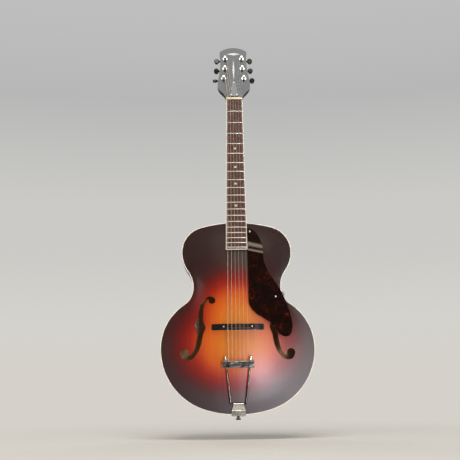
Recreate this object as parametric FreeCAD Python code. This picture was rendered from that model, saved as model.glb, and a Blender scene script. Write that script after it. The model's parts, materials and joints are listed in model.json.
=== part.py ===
"""Archtop guitar with an arched top and back, f-holes, trapeze tailpiece, floating bridge and geared tuners.

Frame, in millimetres: +Z runs up the guitar from its tail to its headstock, -Y is the front, where the
strings are, and +X is the treble side. The origin is on the centre line, at the tail end of the rim, half
way through the body's depth, where the end pin goes in.
"""

import FreeCAD
import Part

import bisect
import math
import os

V = FreeCAD.Vector
UP = V(0, 0, 1)
BACK = V(0, 1, 0)
FRONT = V(0, -1, 0)
RIGHT = V(1, 0, 0)

# Body outline
body_length = 508.0
lower_bout_width = 407.0
waist_width = 234.0
upper_bout_width = 294.0
lower_bout_height_share = 172 / 508
waist_height_share = 333 / 508
upper_bout_height_share = 427.5 / 508
tail_curve_share = 0.97
lower_shoulder_share = 0.72
upper_flank_share = 0.45
upper_shoulder_share = 0.87

# Body shell
rim_depth = 82.5
rib_thickness = 2.5
top_thickness = 4.5
back_thickness = 4.0
top_arch = 16.0
back_arch = 15.0
arch_centre_share = 0.52
arch_flat_share = 0.93
arch_fullness = 1.6
arch_oval_width = 330.0
arch_oval_blend = 2
hollow_lag = 0.35
arch_grid_step = 11.0
binding_width = 2.3
lining_width = 6.0
lining_height = 14.0
neck_block_width = 92.0
neck_block_depth = 52.0
end_block_width = 84.0
end_block_depth = 24.0
tone_bar_width = 7.0
tone_bar_height = 11.0
tone_bar_length = 300.0
tone_bar_spread_top = 66.0
tone_bar_spread_bottom = 104.0
tone_bar_middle_share = 0.49
glue_gap = 0.1
overrun = 5.0

# Sound holes, one each side, drawn between two round eyes; an eye's turns say where the stem's edges meet it
f_upper_eye_x = 66.5
f_upper_eye_rise = 70.37
f_lower_eye_x = 139.3
f_lower_eye_drop = 66.8
f_upper_eye_radius = 8.8
f_lower_eye_radius = 11.4
f_upper_eye_turns = (175.0, 20.0)
f_lower_eye_turns = (355.0, 215.0)
f_nick_half_height = 30.0
f_outer_shares = [(-0.095, 1.035), (-0.04, 1.065), (0.06, 1.085), (0.20, 1.06), (0.37, 0.97), (0.465, 0.85),
                  (0.505, 0.66), (0.535, 0.40), (0.56, 0.26), (0.63, 0.10), (0.77, -0.02)]
f_inner_shares = [(0.19, 0.99), (0.27, 0.93), (0.315, 0.81), (0.325, 0.62), (0.335, 0.38),
                  (0.36, 0.27), (0.43, 0.12), (0.56, -0.015), (0.73, -0.105), (0.89, -0.132),
                  (1.03, -0.115), (1.125, -0.06)]
f_nick_shares = [(0.525, 0.64, 0.45), (0.485, 0.232, 0.40)]

# Neck and fingerboard
scale_length = 635.0
frets_to_body = 14
fret_count = 19
neck_angle = 3.5
board_lift = 14.0
board_thickness = 6.0
board_radius = 305.0
board_nut_width = 44.5
board_end_width = 57.0
board_end_margin = 6.0
board_binding = 1.6
fret_crown_width = 2.4
fret_crown_height = 1.1
fret_tang_width = 0.6
fret_tang_depth = 1.8
fret_end_margin = 0.3
dot_frets = (5, 7, 9, 12)
dot_radius = 3.2
dot_depth = 2.0
neck_depth_nut = 15.5
neck_depth_body = 18.5
tongue_thickness = 3.6
tongue_end_gap = 2.0
heel_half_width_shares = (0.97, 0.93, 0.76, 0.60, 0.53)
heel_length_shares = (1.0, 0.62, 0.40, 0.30, 0.27)
heel_depth_shares = (0.0, 0.18, 0.42, 0.75, 1.0)
heel_length = 62.0
heel_top_depth = 1.0
heel_back_gap = 1.5
tenon_width = 36.0
tenon_length = 38.0
tenon_height = 52.0
tenon_clearance = 0.15
nut_thickness = 5.0
nut_end_gap = 0.2
nut_notch_share = 0.5

# Headstock, in its own tilted frame
head_angle = 14.0
head_drop = 3.0
head_length = 180.0
head_thickness = 14.0
veneer_thickness = 1.5
head_shoulder_half_width = 45.5
head_waist_half_width = 37.0
head_tip_half_width = 38.6
head_corner_z = 165.0
head_outline_shares = [(0.035, 0.06), (0.155, 0.74), (0.245, 1.0), (0.30, 0.985), (0.44, 0.83)]
head_waist_share = 0.70
head_corner_radius = 4.0
volute_length = 42.0
inlay_thickness = 0.6
inlay_strip_length = 74.0
inlay_strip_width = 6.0
inlay_strip_middle_z = 100.0
inlay_crest_width = 40.0
inlay_crest_height = 9.0
inlay_crest_z = 157.0

# Truss rod
truss_rod_diameter = 5.0
truss_channel_clearance = 0.2
truss_rod_depth = 12.0
truss_anchor_diameter = 10.0
truss_anchor_length = 6.0
truss_anchor_place = 24.0
truss_nut_flats = 7.0
truss_nut_length = 10.0
truss_nut_start = 4.0
truss_bore_clearance = 0.05
truss_pocket_half_width = 5.5
truss_pocket_end = 21.0
truss_pocket_floor = 13.0
cover_thickness = 2.0
cover_start = 4.5
cover_length = 52.0
cover_foot_half_width = 12.0
cover_tip_half_width = 5.0
cover_waist_share = 0.45
cover_waist_width_share = 0.62
cover_foot_screw_share = 0.12
cover_foot_screw_half_spread = 8.0
cover_tip_screw_share = 0.94

# Tuners, three each side, in the headstock's frame
tuner_rows_z = (67.9, 103.1, 138.4)
tuner_rows_x = (28.7, 24.7, 23.6)
post_radius = 3.0
post_height = 11.5
post_clearance = 0.05
post_end_length = 1.2
post_end_radius = 1.8
bushing_barrel_radius = 4.4
bushing_flange_radius = 6.2
bushing_flange_thickness = 1.3
bushing_length = 9.0
bushing_hole_clearance = 0.1
plate_thickness = 1.2
plate_width = 13.0
plate_length = 33.0
plate_offset = 4.0
plate_screw_inset = 3.2
lug_thickness = 1.6
lug_height = 5.4
lug_width = 5.0
lug_half_gap = 4.9
gear_teeth = 15
gear_root_radius = 4.8
gear_tip_radius = 5.8
gear_thickness = 3.0
gear_lift = 1.1
gear_tooth_foot_share = 0.44
gear_tooth_tip_share = 0.24
worm_root_radius = 1.3
worm_tip_radius = 2.3
worm_mesh_gap = 0.2
worm_length = 9.0
worm_thread_foot_share = 0.36
worm_thread_tip_share = 0.20
worm_turns = 3
shaft_radius = 1.2
shaft_clearance = 0.05
shaft_end_length = 0.8
button_reach = 16.5
button_length = 15.0
button_half_width = 8.5
button_thickness = 7.0
button_rounding = 2.6
button_collar_radius = 2.8
button_collar_length = 4.0
button_seat_depth = 5.0
button_turns = (-38.0, 25.0, 8.0, 25.0, 10.0, 14.0)
screw_head_radius = 1.7
screw_head_height = 0.9
screw_shank_radius = 0.9
screw_length = 7.0
screw_slot_width = 0.5
screw_slot_depth_share = 0.6

# Strings, bass to treble
string_diameters = (1.35, 1.05, 0.80, 0.62, 0.45, 0.33)
wound_string_count = 4
nut_string_spread = 36.5
bridge_string_spread = 52.0
nut_string_gap = 0.5
bridge_string_height = 6.0
string_bend_radius = 5.0
string_notch_clearance = 0.06
string_turns = (2, 2, 3, 3, 3, 3)
string_turn_gap = 0.5
string_turn_clearance = 0.06
string_post_height = 6.4
post_hole_radius = 0.9
post_hole_height = 9.0
ball_radius = 2.0
ball_length = 3.6
ball_gap = 0.05

# Bridge
bridge_base_length = 137.0
bridge_base_width = 16.0
bridge_base_height = 6.6
bridge_base_end_height = 3.2
bridge_base_end_run = 26.0
bridge_post_spacing = 74.0
bridge_post_radius = 2.0
bridge_post_seat = 4.0
bridge_post_proud = 0.6
wheel_radius = 8.0
wheel_thickness = 3.0
wheel_rise = 1.9
wheel_flutes = 24
wheel_flute_radius = 0.55
thread_clearance = 0.05
wheel_saddle_gap = 0.05
saddle_length = 90.0
saddle_width = 9.0
saddle_top_width = 4.5
saddle_hole_clearance = 0.1

# Tailpiece
tail_hinge_z = 11.0
tail_hinge_lift = 5.2
tail_bar_place_share = 0.55805
tail_bar_length = 83.0
tail_bar_height = 18.0
tail_bar_depth = 9.0
tail_bar_sheet = 1.4
tail_bar_corner = 2.0
tail_string_spread = 50.0
tail_string_hole_clearance = 0.3
tail_wire_diameter = 4.0
tail_wire_spread_bar = 62.0
tail_wire_spread_leaf = 40.0
tail_wire_bend = 6.0
tail_wire_fit = 0.1
tail_cap_radius = 3.2
tail_cap_length = 12.0
tail_leaf_length = 17.0
tail_leaf_thickness = 1.6
tail_leaf_foot_width = 34.0
tail_roll_width = 26.0
tail_roll_radius = 3.4
tail_roll_clearance = 0.05
tail_knuckle_width = 11.0
tail_knuckle_gap = 0.3
tail_barrel_radius = 3.0
tail_pin_radius = 1.5
tail_pin_clearance = 0.05
tail_bracket_width = 36.0
tail_bracket_thickness = 1.8
tail_bracket_drop = 62.0
tail_bracket_seat_gap = 0.05
tail_screw_half_spread = 11.0
tail_screw_inset = 7.0
tail_screw_length = 16.0
tail_screw_radius = 1.7
tail_screw_head_radius = 3.4
tail_screw_head_height = 1.6

# End pin
pin_shank_radius = 4.5
pin_shank_length = 20.0
pin_collar_radius = 7.0
pin_collar_length = 2.2
pin_neck_radius = 3.6
pin_neck_length = 5.0
pin_head_radius = 6.5
pin_head_length = 4.0

# Pickguard
guard_drop = 3.0
guard_thickness = 3.0
guard_board_gap = 1.0
guard_width = 113.0
guard_bridge_pass = 25.6
guard_top_drop = 17.5
guard_shares = [(0.09, 0.012), (0.19, 0.04), (0.265, 0.085), (0.325, 0.14), (0.355, 0.215),
                (0.37, 0.30), (0.44, 0.385), (0.60, 0.49), (0.77, 0.60), (0.90, 0.725),
                (0.985, 0.85), (0.995, 0.935), (0.90, 0.998), (0.76, 0.995), (0.655, 0.955),
                (0.52, 0.885), (0.20, 0.80), (0.06, 0.745)]
guard_straight_share = 0.67
guard_screw_radius = 2.4
guard_screw_height = 1.2
guard_screw_shank = 1.4
guard_neck_screw_inset = 6.5
guard_neck_screw_drop = 10.0
guard_post_radius = 4.0
guard_rim_screw_inset = 16.2
guard_rim_screw_drop = 29.0
bracket_width = 10.0
bracket_thickness = 1.6
bracket_inner_reach = 27.0
bracket_drop = 28.0
guard_screw_grip = 6.0
bracket_rib_gap = 0.05
bracket_guard_gap = 0.05

# Levels and places that follow from the sizes above
top_level = -rim_depth / 2
back_level = rim_depth / 2
inner_front = top_level + top_thickness
inner_back = back_level - back_thickness
lower_bout_height = lower_bout_height_share * body_length
waist_height = waist_height_share * body_length
upper_bout_height = upper_bout_height_share * body_length
arch_centre_z = arch_centre_share * body_length
hollow_inset = rib_thickness + lining_width
neck_run = scale_length * (1 - 2 ** (-frets_to_body / 12))
board_end_z = neck_run - scale_length * (1 - 2 ** (-fret_count / 12)) - board_end_margin
NECK = FreeCAD.Placement(V(0, top_level - board_lift, body_length), FreeCAD.Rotation(RIGHT, -neck_angle))
HEAD = NECK.multiply(FreeCAD.Placement(V(0, head_drop, neck_run + nut_thickness),
                                       FreeCAD.Rotation(RIGHT, -head_angle)))
head_back = veneer_thickness + head_thickness
string_count = len(string_diameters)
saddle_middle = NECK.multVec(V(0, -bridge_string_height, neck_run - scale_length))
bridge_z = saddle_middle.z
f_upper_eye_z = bridge_z + f_upper_eye_rise
f_lower_eye_z = bridge_z - f_lower_eye_drop


def placed(shape, frame):
    """A copy of a shape, moved from a local frame into the guitar's."""
    copy = shape.copy()
    copy.Placement = frame.multiply(copy.Placement)
    return copy


def box(x0, x1, y0, y1, z0, z1):
    return Part.makeBox(x1 - x0, y1 - y0, z1 - z0, V(x0, y0, z0))


def rod(start, direction, radius, length):
    return Part.makeCylinder(radius, length, start, direction)


def fused(shapes):
    return shapes[0].multiFuse(shapes[1:]).removeSplitter()


def group(shapes):
    """Separate solids that share one node."""
    return Part.makeCompound([solid for shape in shapes for solid in shape.Solids])


def flat_prism(points, y0, y1):
    """A straight-sided prism on points in the XZ plane, from y0 to y1."""
    wire = Part.makePolygon([V(x, y0, z) for x, z in points + points[:1]])
    return Part.Face(wire).extrude(V(0, y1 - y0, 0))


def spline_edge(points, y):
    curve = Part.BSplineCurve()
    curve.interpolate([V(x, y, z) for x, z in points])
    return curve.toShape()


def line_edge(start, end):
    return Part.LineSegment(start, end).toShape()


def oval_wire(half_width, depth):
    """Half an ellipse and the line that closes it, in the XZ plane, bulging to +Z."""
    half_circle = Part.Arc(V(-1, 0, 0), V(0, 0, 1), V(1, 0, 0)).toShape()
    stretch = FreeCAD.Matrix()
    stretch.scale(half_width, 1, depth)
    base = line_edge(V(half_width, 0, 0), V(-half_width, 0, 0))
    return Part.Wire([half_circle.transformGeometry(stretch), base])


# Paths of straight runs and tangent arcs
def corner_arc(start, corner, end):
    """The arc tangent to corner's two equal sides; a line where the sides are in line."""
    middle = (start + end) * 0.5
    rise = (corner - middle).Length
    half = (end - start).Length / 2
    turn = math.atan2(rise, half)
    if math.degrees(turn) < 0.01:
        return line_edge(start, end)
    apex = middle + (corner - middle) * (half * math.tan(turn / 2) / rise)
    return Part.Arc(start, apex, end).toShape()


def biarc(start, start_way, end, end_way):
    """Two tangent arcs from one point and direction to another."""
    span = end - start
    ways = start_way + end_way
    a = 2 * (1 - start_way.dot(end_way))
    b = 2 * span.dot(ways)
    c = -span.dot(span)
    reach = (-b + math.sqrt(b * b - 4 * a * c)) / (2 * a) if a > 1e-9 else -c / b
    first = start + start_way * reach
    second = end - end_way * reach
    joint = (first + second) * 0.5
    return [corner_arc(start, first, joint), corner_arc(joint, second, end)]


def rounded_run(points, radius):
    """Edges along points, each inner corner rounded to radius."""
    edges = []
    start = points[0]
    for before, corner, after in zip(points, points[1:], points[2:]):
        way_in = (corner - before).normalize()
        way_out = (after - corner).normalize()
        cut = radius * math.tan(way_in.getAngle(way_out) / 2)
        edges.append(line_edge(start, corner - way_in * cut))
        edges.append(corner_arc(corner - way_in * cut, corner, corner + way_out * cut))
        start = corner + way_out * cut
    edges.append(line_edge(start, points[-1]))
    return edges


def tube(edges, radius, name):
    """A round bar along edges, its volume compared with section times length."""
    first = edges[0]
    start = first.valueAt(first.FirstParameter)
    profile = Part.Wire(Part.makeCircle(radius, start, first.tangentAt(first.FirstParameter)))
    bar = Part.Wire(edges).makePipeShell([profile], True, False)
    expected = math.pi * radius ** 2 * sum(edge.Length for edge in edges)
    print(f"{name}: volume {bar.Volume:.2f}, section times length {expected:.2f}")
    return bar


# Body
def quarter_oval(reach, rise, share):
    """Two tangent arcs, (x, z, radius, angle, angle), from an oval's tip (0, 0) to its side (reach, rise).
    The tighter arc, at the end of the longer half axis, has that share of the shorter one as its radius."""
    short, long = sorted((reach, rise))
    small = share * short
    large = ((long - small) ** 2 + short ** 2 - small ** 2) / (2 * (short - small))
    tip, side = (large, small) if reach > rise else (small, large)
    away = 1 if reach > rise else -1
    turn = math.atan2(away * (rise - tip), away * (reach - side))
    return [(0, tip, tip, -math.pi / 2, turn), (reach - side, rise, side, turn, 0)]


def outline_arcs():
    """The treble half of the outline from the tail up: tangent arcs (x, z, radius, angle, angle, hollow)."""
    low, waist, high = lower_bout_width / 2, waist_width / 2, upper_bout_width / 2
    tail = [arc + (False,) for arc in quarter_oval(low, lower_bout_height, tail_curve_share)]
    shoulder = [(x, body_length - z, radius, -end, -start, False) for x, z, radius, start, end
                in reversed(quarter_oval(high, body_length - upper_bout_height, upper_shoulder_share))]
    run, rise = low - waist, waist_height - lower_bout_height
    bend = (run ** 2 + rise ** 2) / (2 * run)
    low_radius = lower_shoulder_share * bend
    low_x, waist_low_x = low - low_radius, waist + bend - low_radius
    low_turn = math.atan2(rise, waist_low_x - low_x)
    run, rise = high - waist, upper_bout_height - waist_height
    bend_high = (run ** 2 + rise ** 2) / (2 * run)
    waist_radius = upper_flank_share * bend_high
    high_x, waist_high_x = high - bend_high + waist_radius, waist + waist_radius
    high_turn = math.atan2(-rise, waist_high_x - high_x)
    flanks = [(low_x, lower_bout_height, low_radius, 0, low_turn, False),
              (waist_low_x, waist_height, bend - low_radius, math.pi + low_turn, math.pi, True),
              (waist_high_x, waist_height, waist_radius, math.pi, math.pi + high_turn, True),
              (high_x, upper_bout_height, bend_high - waist_radius, high_turn, 0, False)]
    return tail + flanks + shoulder


ARCS = outline_arcs()
waist_arc_x, waist_arc_z, waist_arc_radius = ARCS[3][:3]


def arc_point(arc, share, inset):
    x, z, radius, start, end, hollow = arc
    radius = radius + inset if hollow else radius - inset
    angle = start + share * (end - start)
    return x + radius * math.cos(angle), z + radius * math.sin(angle)


def body_wire(inset, y):
    """The outline moved inwards by inset, at depth y."""
    edges = []
    for side in (1, -1):
        for arc in ARCS:
            marks = [arc_point(arc, share, inset) for share in (0, 0.5, 1)]
            edges.append(Part.Arc(*[V(side * x, y, z) for x, z in marks]).toShape())
    return Part.Wire(Part.__sortEdges__(edges))


def body_prism(inset, y0, y1):
    return Part.Face(body_wire(inset, y0)).extrude(V(0, y1 - y0, 0))


def rim_table():
    """Bearing and distance of points on the outline, seen from the centre of the arch."""
    shares = [step / 16 for step in range(17)]
    marks = [arc_point(arc, share, 0) for arc in ARCS for share in shares]
    return sorted((math.atan2(z - arch_centre_z, x), math.hypot(x, z - arch_centre_z)) for x, z in marks)


RIM = rim_table()
RIM_BEARINGS = [bearing for bearing, distance in RIM]


def rim_distance(bearing):
    after = min(max(bisect.bisect(RIM_BEARINGS, bearing), 1), len(RIM) - 1)
    (b0, d0), (b1, d1) = RIM[after - 1], RIM[after]
    return d0 + (d1 - d0) * (bearing - b0) / (b1 - b0) if b1 > b0 else d0


def arch_reach(x, z):
    """How far out a point is, in contours that change from an oval at the centre to the outline."""
    distance = math.hypot(x, z - arch_centre_z)
    bearing = math.atan2(z - arch_centre_z, abs(x))
    rim = rim_distance(bearing)
    oval = 1 / math.hypot(math.cos(bearing) / (arch_oval_width / 2), math.sin(bearing) / (body_length / 2))
    low, high = 0.0, 1.0
    for halving in range(24):
        middle = (low + high) / 2
        if middle * (oval + (rim - oval) * middle ** arch_oval_blend) < distance:
            low = middle
        else:
            high = middle
    return high


def arch_share(x, z):
    """How much of the arch's full height stands at a point: one at the centre, none near the rim."""
    fall = (arch_reach(x, z) / arch_flat_share) ** arch_fullness
    return 1 - fall * fall * (3 - 2 * fall) if fall < 1 else 0


def arch_face(level, rise):
    """The arched surface over the whole outline: level at the rim, level plus rise at the centre."""
    half = lower_bout_width / 2 + overrun
    columns = math.ceil(half / arch_grid_step)
    rows = math.ceil((body_length + 2 * overrun) / arch_grid_step)
    xs = [half * step / columns for step in range(-columns, columns + 1)]
    zs = [-overrun + (body_length + 2 * overrun) * step / rows for step in range(rows + 1)]
    surface = Part.BSplineSurface()
    surface.interpolate([[V(x, level + rise * arch_share(x, z), z) for z in zs] for x in xs])
    return surface.toShape()


def arched_plate(level, thickness, rise, outward):
    """A plate carved with an arch on both faces and left flat where it is glued to the rim."""
    away = V(0, outward * (rise + thickness + 2 * overrun), 0)
    plate = body_prism(binding_width, level - outward * thickness, level + outward * (rise + overrun))
    outside = arch_face(level, outward * rise).extrude(away)
    hollow = arch_face(level - outward * (thickness + hollow_lag), outward * rise).extrude(-away)
    return plate.cut(outside).cut(hollow)


def f_place(side, share):
    across, up = share
    return (side * (f_upper_eye_x + across * (f_lower_eye_x - f_upper_eye_x)),
            f_lower_eye_z + up * (f_upper_eye_z - f_lower_eye_z))


def f_rim(side, eye, turn):
    """A point on an eye's rim, turned up from the way that leads away from the strings."""
    share, radius = eye
    x, z = f_place(side, share)
    return x + side * radius * math.cos(math.radians(turn)), z + radius * math.sin(math.radians(turn))


def f_hole(side):
    """The cutters of one f-hole: a stem that runs into two round eyes, and two nicks."""
    y0 = top_level - top_arch - overrun
    y1 = inner_front + overrun
    upper, lower = ((0, 1), f_upper_eye_radius), ((1, 0), f_lower_eye_radius)
    upper_far, upper_near = [f_rim(side, upper, turn) for turn in f_upper_eye_turns]
    lower_far, lower_near = [f_rim(side, lower, turn) for turn in f_lower_eye_turns]
    outer = [upper_far] + [f_place(side, share) for share in f_outer_shares] + [lower_near]
    inner = [upper_near] + [f_place(side, share) for share in f_inner_shares] + [lower_far]
    edges = [spline_edge(outer, y0), spline_edge(inner, y0)]
    for eye, (far, near) in ((upper, f_upper_eye_turns), (lower, f_lower_eye_turns)):
        marks = [f_rim(side, eye, turn) for turn in (far, (far + near) / 2 + 180, near)]
        edges.append(Part.Arc(*[V(x, y0, z) for x, z in marks]).toShape())
    cutters = [Part.Face(Part.Wire(Part.__sortEdges__(edges))).extrude(V(0, y1 - y0, 0))]
    for up, tip, foot in f_nick_shares:
        foot_x, foot_z = f_place(side, (foot, up))
        feet = [(foot_x, foot_z + f_nick_half_height), (foot_x, foot_z - f_nick_half_height)]
        cutters.append(flat_prism([f_place(side, (tip, up))] + feet, y0, y1))
    return cutters


def tenon(clearance):
    """The neck's tongue inside the neck block, or its mortise when it is grown by a clearance."""
    half = tenon_width / 2 + clearance
    return box(-half, half, inner_front + lining_height - clearance,
               inner_front + lining_height + tenon_height + clearance,
               body_length - tenon_length - clearance, body_length + overrun)


def block_box(width, z0, z1):
    return box(-width / 2, width / 2, inner_front, inner_back, z0, z1)


def end_pin_hole():
    return rod(V(0, 0, -overrun), UP, pin_shank_radius, end_block_depth + 2 * overrun)


def rim_parts():
    """Ribs, blocks, linings and bindings."""
    whole = body_prism(0, inner_front, inner_back)
    inside = body_prism(rib_thickness, inner_front, inner_back)
    holes = [end_pin_hole(), bracket_rib_hole()] + tail_screw_holes()
    rib = whole.cut(inside).cut([tenon(tenon_clearance)] + holes)
    half = lower_bout_width / 2 + overrun
    ribs = [rib.common(box(x0, x1, inner_front, inner_back, -overrun, body_length + overrun))
            for x0, x1 in ((-half, 0), (0, half))]
    neck_box = block_box(neck_block_width, body_length - neck_block_depth, body_length + overrun)
    end_box = block_box(end_block_width, -overrun, end_block_depth)
    blocks = [inside.common(neck_box).cut(tenon(tenon_clearance)),
              inside.common(end_box).cut([end_pin_hole()] + tail_screw_holes())]
    linings = []
    for y0, y1 in ((inner_front, inner_front + lining_height), (inner_back - lining_height, inner_back)):
        ring = body_prism(rib_thickness, y0, y1).cut(body_prism(hollow_inset, y0, y1))
        linings.append(ring.cut([neck_box, end_box]))
    bindings = [body_prism(0, y0, y1).cut(body_prism(binding_width, y0, y1))
                for y0, y1 in ((top_level, inner_front), (inner_back, back_level))]
    return ribs, blocks, linings, bindings


def tone_bars():
    """Two bars carved to the underside of the top, spreading towards the tail."""
    middle = tone_bar_middle_share * body_length
    seat = inner_front + hollow_lag + glue_gap
    above = arch_face(seat, -top_arch).extrude(V(0, -top_arch - 2 * overrun, 0))
    bars = []
    for side in (-1, 1):
        ends = [(spread / 2, middle + way * tone_bar_length / 2)
                for spread, way in ((tone_bar_spread_bottom, -1), (tone_bar_spread_top, 1))]
        points = [(side * (x + edge * tone_bar_width / 2), z)
                  for (x, z), edge in ((ends[0], -1), (ends[0], 1), (ends[1], 1), (ends[1], -1))]
        blank = flat_prism(points, top_level - top_arch, inner_front + tone_bar_height)
        below = arch_face(inner_front + tone_bar_height, -top_arch).extrude(V(0, top_arch + 2 * overrun, 0))
        bars.append(blank.cut([above, below]))
    return group(bars)


# Neck, in a frame with the fingerboard's face at y = 0 and the body's edge at z = 0
def board_half_width(z):
    share = (neck_run - z) / (neck_run - board_end_z)
    return (board_nut_width + share * (board_end_width - board_nut_width)) / 2


def crown_drop(x):
    """How far the rounded fingerboard falls away at a distance from its centre line."""
    return board_radius - math.sqrt(board_radius ** 2 - x ** 2)


def board_slab(inset, z0, z1, y0, y1):
    """A tapered slab that follows the fingerboard's sides, moved in by inset."""
    low, high = board_half_width(z0) - inset, board_half_width(z1) - inset
    return flat_prism([(-low, z0), (low, z0), (high, z1), (-high, z1)], y0, y1)


def round_face(lift):
    """The solid under the fingerboard's rounded face, raised by lift."""
    return rod(V(0, board_radius, board_end_z - overrun), UP, board_radius + lift,
               neck_run - board_end_z + nut_thickness + 2 * overrun)


def fret_z(number):
    return neck_run - scale_length * (1 - 2 ** (-number / 12))


def swept_across(wire, half_length):
    """A profile on the centre plane, turned about the axis of the rounded face to both sides."""
    swing = math.degrees(math.asin(half_length / board_radius))
    axis = V(0, board_radius, 0)
    face = Part.Face(wire)
    face.rotate(axis, UP, -swing)
    return face.revolve(axis, UP, 2 * swing)


def fret_parts():
    """Frets with rounded crowns and tangs, and the slots that the tangs are pressed into."""
    frets = []
    slots = []
    for number in range(1, fret_count + 1):
        z = fret_z(number)
        half = board_half_width(z) - board_binding - fret_end_margin
        side, stem = fret_crown_width / 2, fret_tang_width / 2
        crown = Part.Arc(V(0, 0, z + side), V(0, -fret_crown_height, z), V(0, 0, z - side)).toShape()
        corners = [V(0, 0, z - side), V(0, 0, z - stem), V(0, fret_tang_depth, z - stem),
                   V(0, fret_tang_depth, z + stem), V(0, 0, z + stem), V(0, 0, z + side)]
        lines = [line_edge(a, b) for a, b in zip(corners, corners[1:])]
        frets.append(swept_across(Part.Wire([crown] + lines), half))
        slots.append(swept_across(Part.makePolygon(corners[1:5] + corners[1:2]), half))
    return frets, slots


def board_parts():
    """Fingerboard, its binding, frets and position dots."""
    frets, slots = fret_parts()
    dots = []
    for number in dot_frets:
        z = (fret_z(number - 1) + fret_z(number)) / 2
        dots.append(rod(V(0, -overrun, z), BACK, dot_radius, overrun + dot_depth).common(round_face(0)))
    inner_end = board_end_z + board_binding
    inner = board_slab(board_binding, inner_end, neck_run, -overrun, board_thickness).common(round_face(0))
    whole = board_slab(0, board_end_z, neck_run, -overrun, board_thickness).common(round_face(0))
    core = board_slab(board_binding, inner_end, neck_run + overrun, -overrun, board_thickness + overrun)
    edge = whole.cut(core)
    return inner.cut(slots).cut(dots), edge, group(frets), group(dots)


def neck_section(z, half_width, depth):
    frame = FreeCAD.Placement(V(0, board_thickness, z), FreeCAD.Rotation(RIGHT, -90))
    return placed(oval_wire(half_width, depth), frame)


def neck_shaft():
    """The rounded shaft from inside the heel to the nut, and the tongue under the fingerboard's end."""
    nut_end = neck_run + nut_thickness
    sections = [neck_section(-overrun, board_half_width(-overrun), neck_depth_body),
                neck_section(nut_end, board_nut_width / 2, neck_depth_nut)]
    tongue = board_slab(board_binding, board_end_z + tongue_end_gap, overrun,
                        board_thickness, board_thickness + tongue_thickness)
    return [Part.makeLoft(sections, True, True), tongue]


def heel():
    """The heel, lofted through half ovals from the shaft down towards the back."""
    top = top_level - board_lift + board_thickness + heel_top_depth
    drop = back_level - heel_back_gap - top
    wires = []
    for width, length, depth in zip(heel_half_width_shares, heel_length_shares, heel_depth_shares):
        wire = oval_wire(board_half_width(0) * width, heel_length * length + overrun)
        wires.append(placed(wire, FreeCAD.Placement(V(0, top + depth * drop, body_length - overrun),
                                                    FreeCAD.Rotation())))
    return Part.makeLoft(wires, True, False)


def head_wire(y):
    nut_half = board_nut_width / 2
    flare = head_shoulder_half_width - nut_half
    side = [(nut_half, 0)]
    side += [(nut_half + out * flare, up * head_length) for up, out in head_outline_shares]
    side += [(head_waist_half_width, head_waist_share * head_length), (head_tip_half_width, head_corner_z)]
    mirrored = [(-x, z) for x, z in side]
    tip = Part.Arc(V(head_tip_half_width, y, head_corner_z), V(0, y, head_length),
                   V(-head_tip_half_width, y, head_corner_z)).toShape()
    foot = line_edge(V(-nut_half, y, 0), V(nut_half, y, 0))
    return Part.Wire(Part.__sortEdges__([spline_edge(side, y), tip, spline_edge(mirrored, y), foot]))


def head_slab(y0, y1):
    """The headstock's outline between two depths, its top corners rounded."""
    slab = Part.Face(head_wire(y0)).extrude(V(0, y1 - y0, 0))
    corners = [edge for edge in slab.Edges
               if all(abs(end.Point.z - head_corner_z) < glue_gap for end in edge.Vertexes)
               and edge.Length < y1 - y0 + glue_gap]
    return slab.makeFillet(head_corner_radius, corners)


def volute():
    """The thickening that carries the shaft into the back of the headstock."""
    local = HEAD.inverse().multiply(NECK)
    start = placed(neck_section(neck_run + nut_thickness, board_nut_width / 2, neck_depth_nut), local)
    low = FreeCAD.Placement(V(0, veneer_thickness, volute_length), FreeCAD.Rotation(RIGHT, -90))
    end = placed(oval_wire(board_nut_width / 2, head_thickness), low)
    return Part.makeLoft([start, end], True, True)


def truss_pocket():
    return box(-truss_pocket_half_width, truss_pocket_half_width, -overrun, truss_pocket_floor,
               -overrun, truss_pocket_end)


def nut_box():
    half = board_nut_width / 2
    return box(-half, half, -overrun, board_thickness, neck_run, neck_run + nut_thickness)


def truss_channel():
    """The slot for the rod, open to the fingerboard, and the seat of its anchor."""
    radius = truss_rod_diameter / 2 + truss_channel_clearance
    length = neck_run + nut_thickness + truss_nut_start - truss_anchor_place
    bottom = rod(V(0, truss_rod_depth, truss_anchor_place), UP, radius, length)
    slot = box(-radius, radius, board_thickness, truss_rod_depth, truss_anchor_place,
               truss_anchor_place + length - truss_nut_start - nut_thickness)
    anchor_radius = truss_anchor_diameter / 2 + truss_channel_clearance
    anchor = rod(V(0, truss_rod_depth, truss_anchor_place), UP, anchor_radius,
                 truss_anchor_length + truss_channel_clearance)
    return [bottom, slot, anchor]


def truss_parts():
    """The steel rod with its anchor, and the hexagon nut on its end."""
    nut_start = neck_run + nut_thickness + truss_nut_start
    nut_end = nut_start + truss_nut_length
    rod_start = truss_anchor_place + truss_channel_clearance
    bar = rod(V(0, truss_rod_depth, rod_start), UP, truss_rod_diameter / 2, nut_end - rod_start)
    anchor = rod(V(0, truss_rod_depth, rod_start), UP, truss_anchor_diameter / 2, truss_anchor_length)
    corner = truss_nut_flats / 2 / math.cos(math.pi / 6)
    turns = [step * math.pi / 3 for step in range(7)]
    points = [V(corner * math.cos(turn), truss_rod_depth + corner * math.sin(turn), nut_start)
              for turn in turns]
    nut = Part.Face(Part.makePolygon(points)).extrude(V(0, 0, truss_nut_length))
    bore_radius = truss_rod_diameter / 2 + truss_bore_clearance
    bore = rod(V(0, truss_rod_depth, nut_start), UP, bore_radius, truss_nut_length)
    return fused([bar, anchor]), nut.cut(bore)


def tuner_place(number):
    """Side and post place of a tuner, numbered from the lowest string."""
    row = number if number < string_count // 2 else string_count - 1 - number
    side = -1 if number < string_count // 2 else 1
    return side, tuner_rows_x[row], tuner_rows_z[row]


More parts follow.
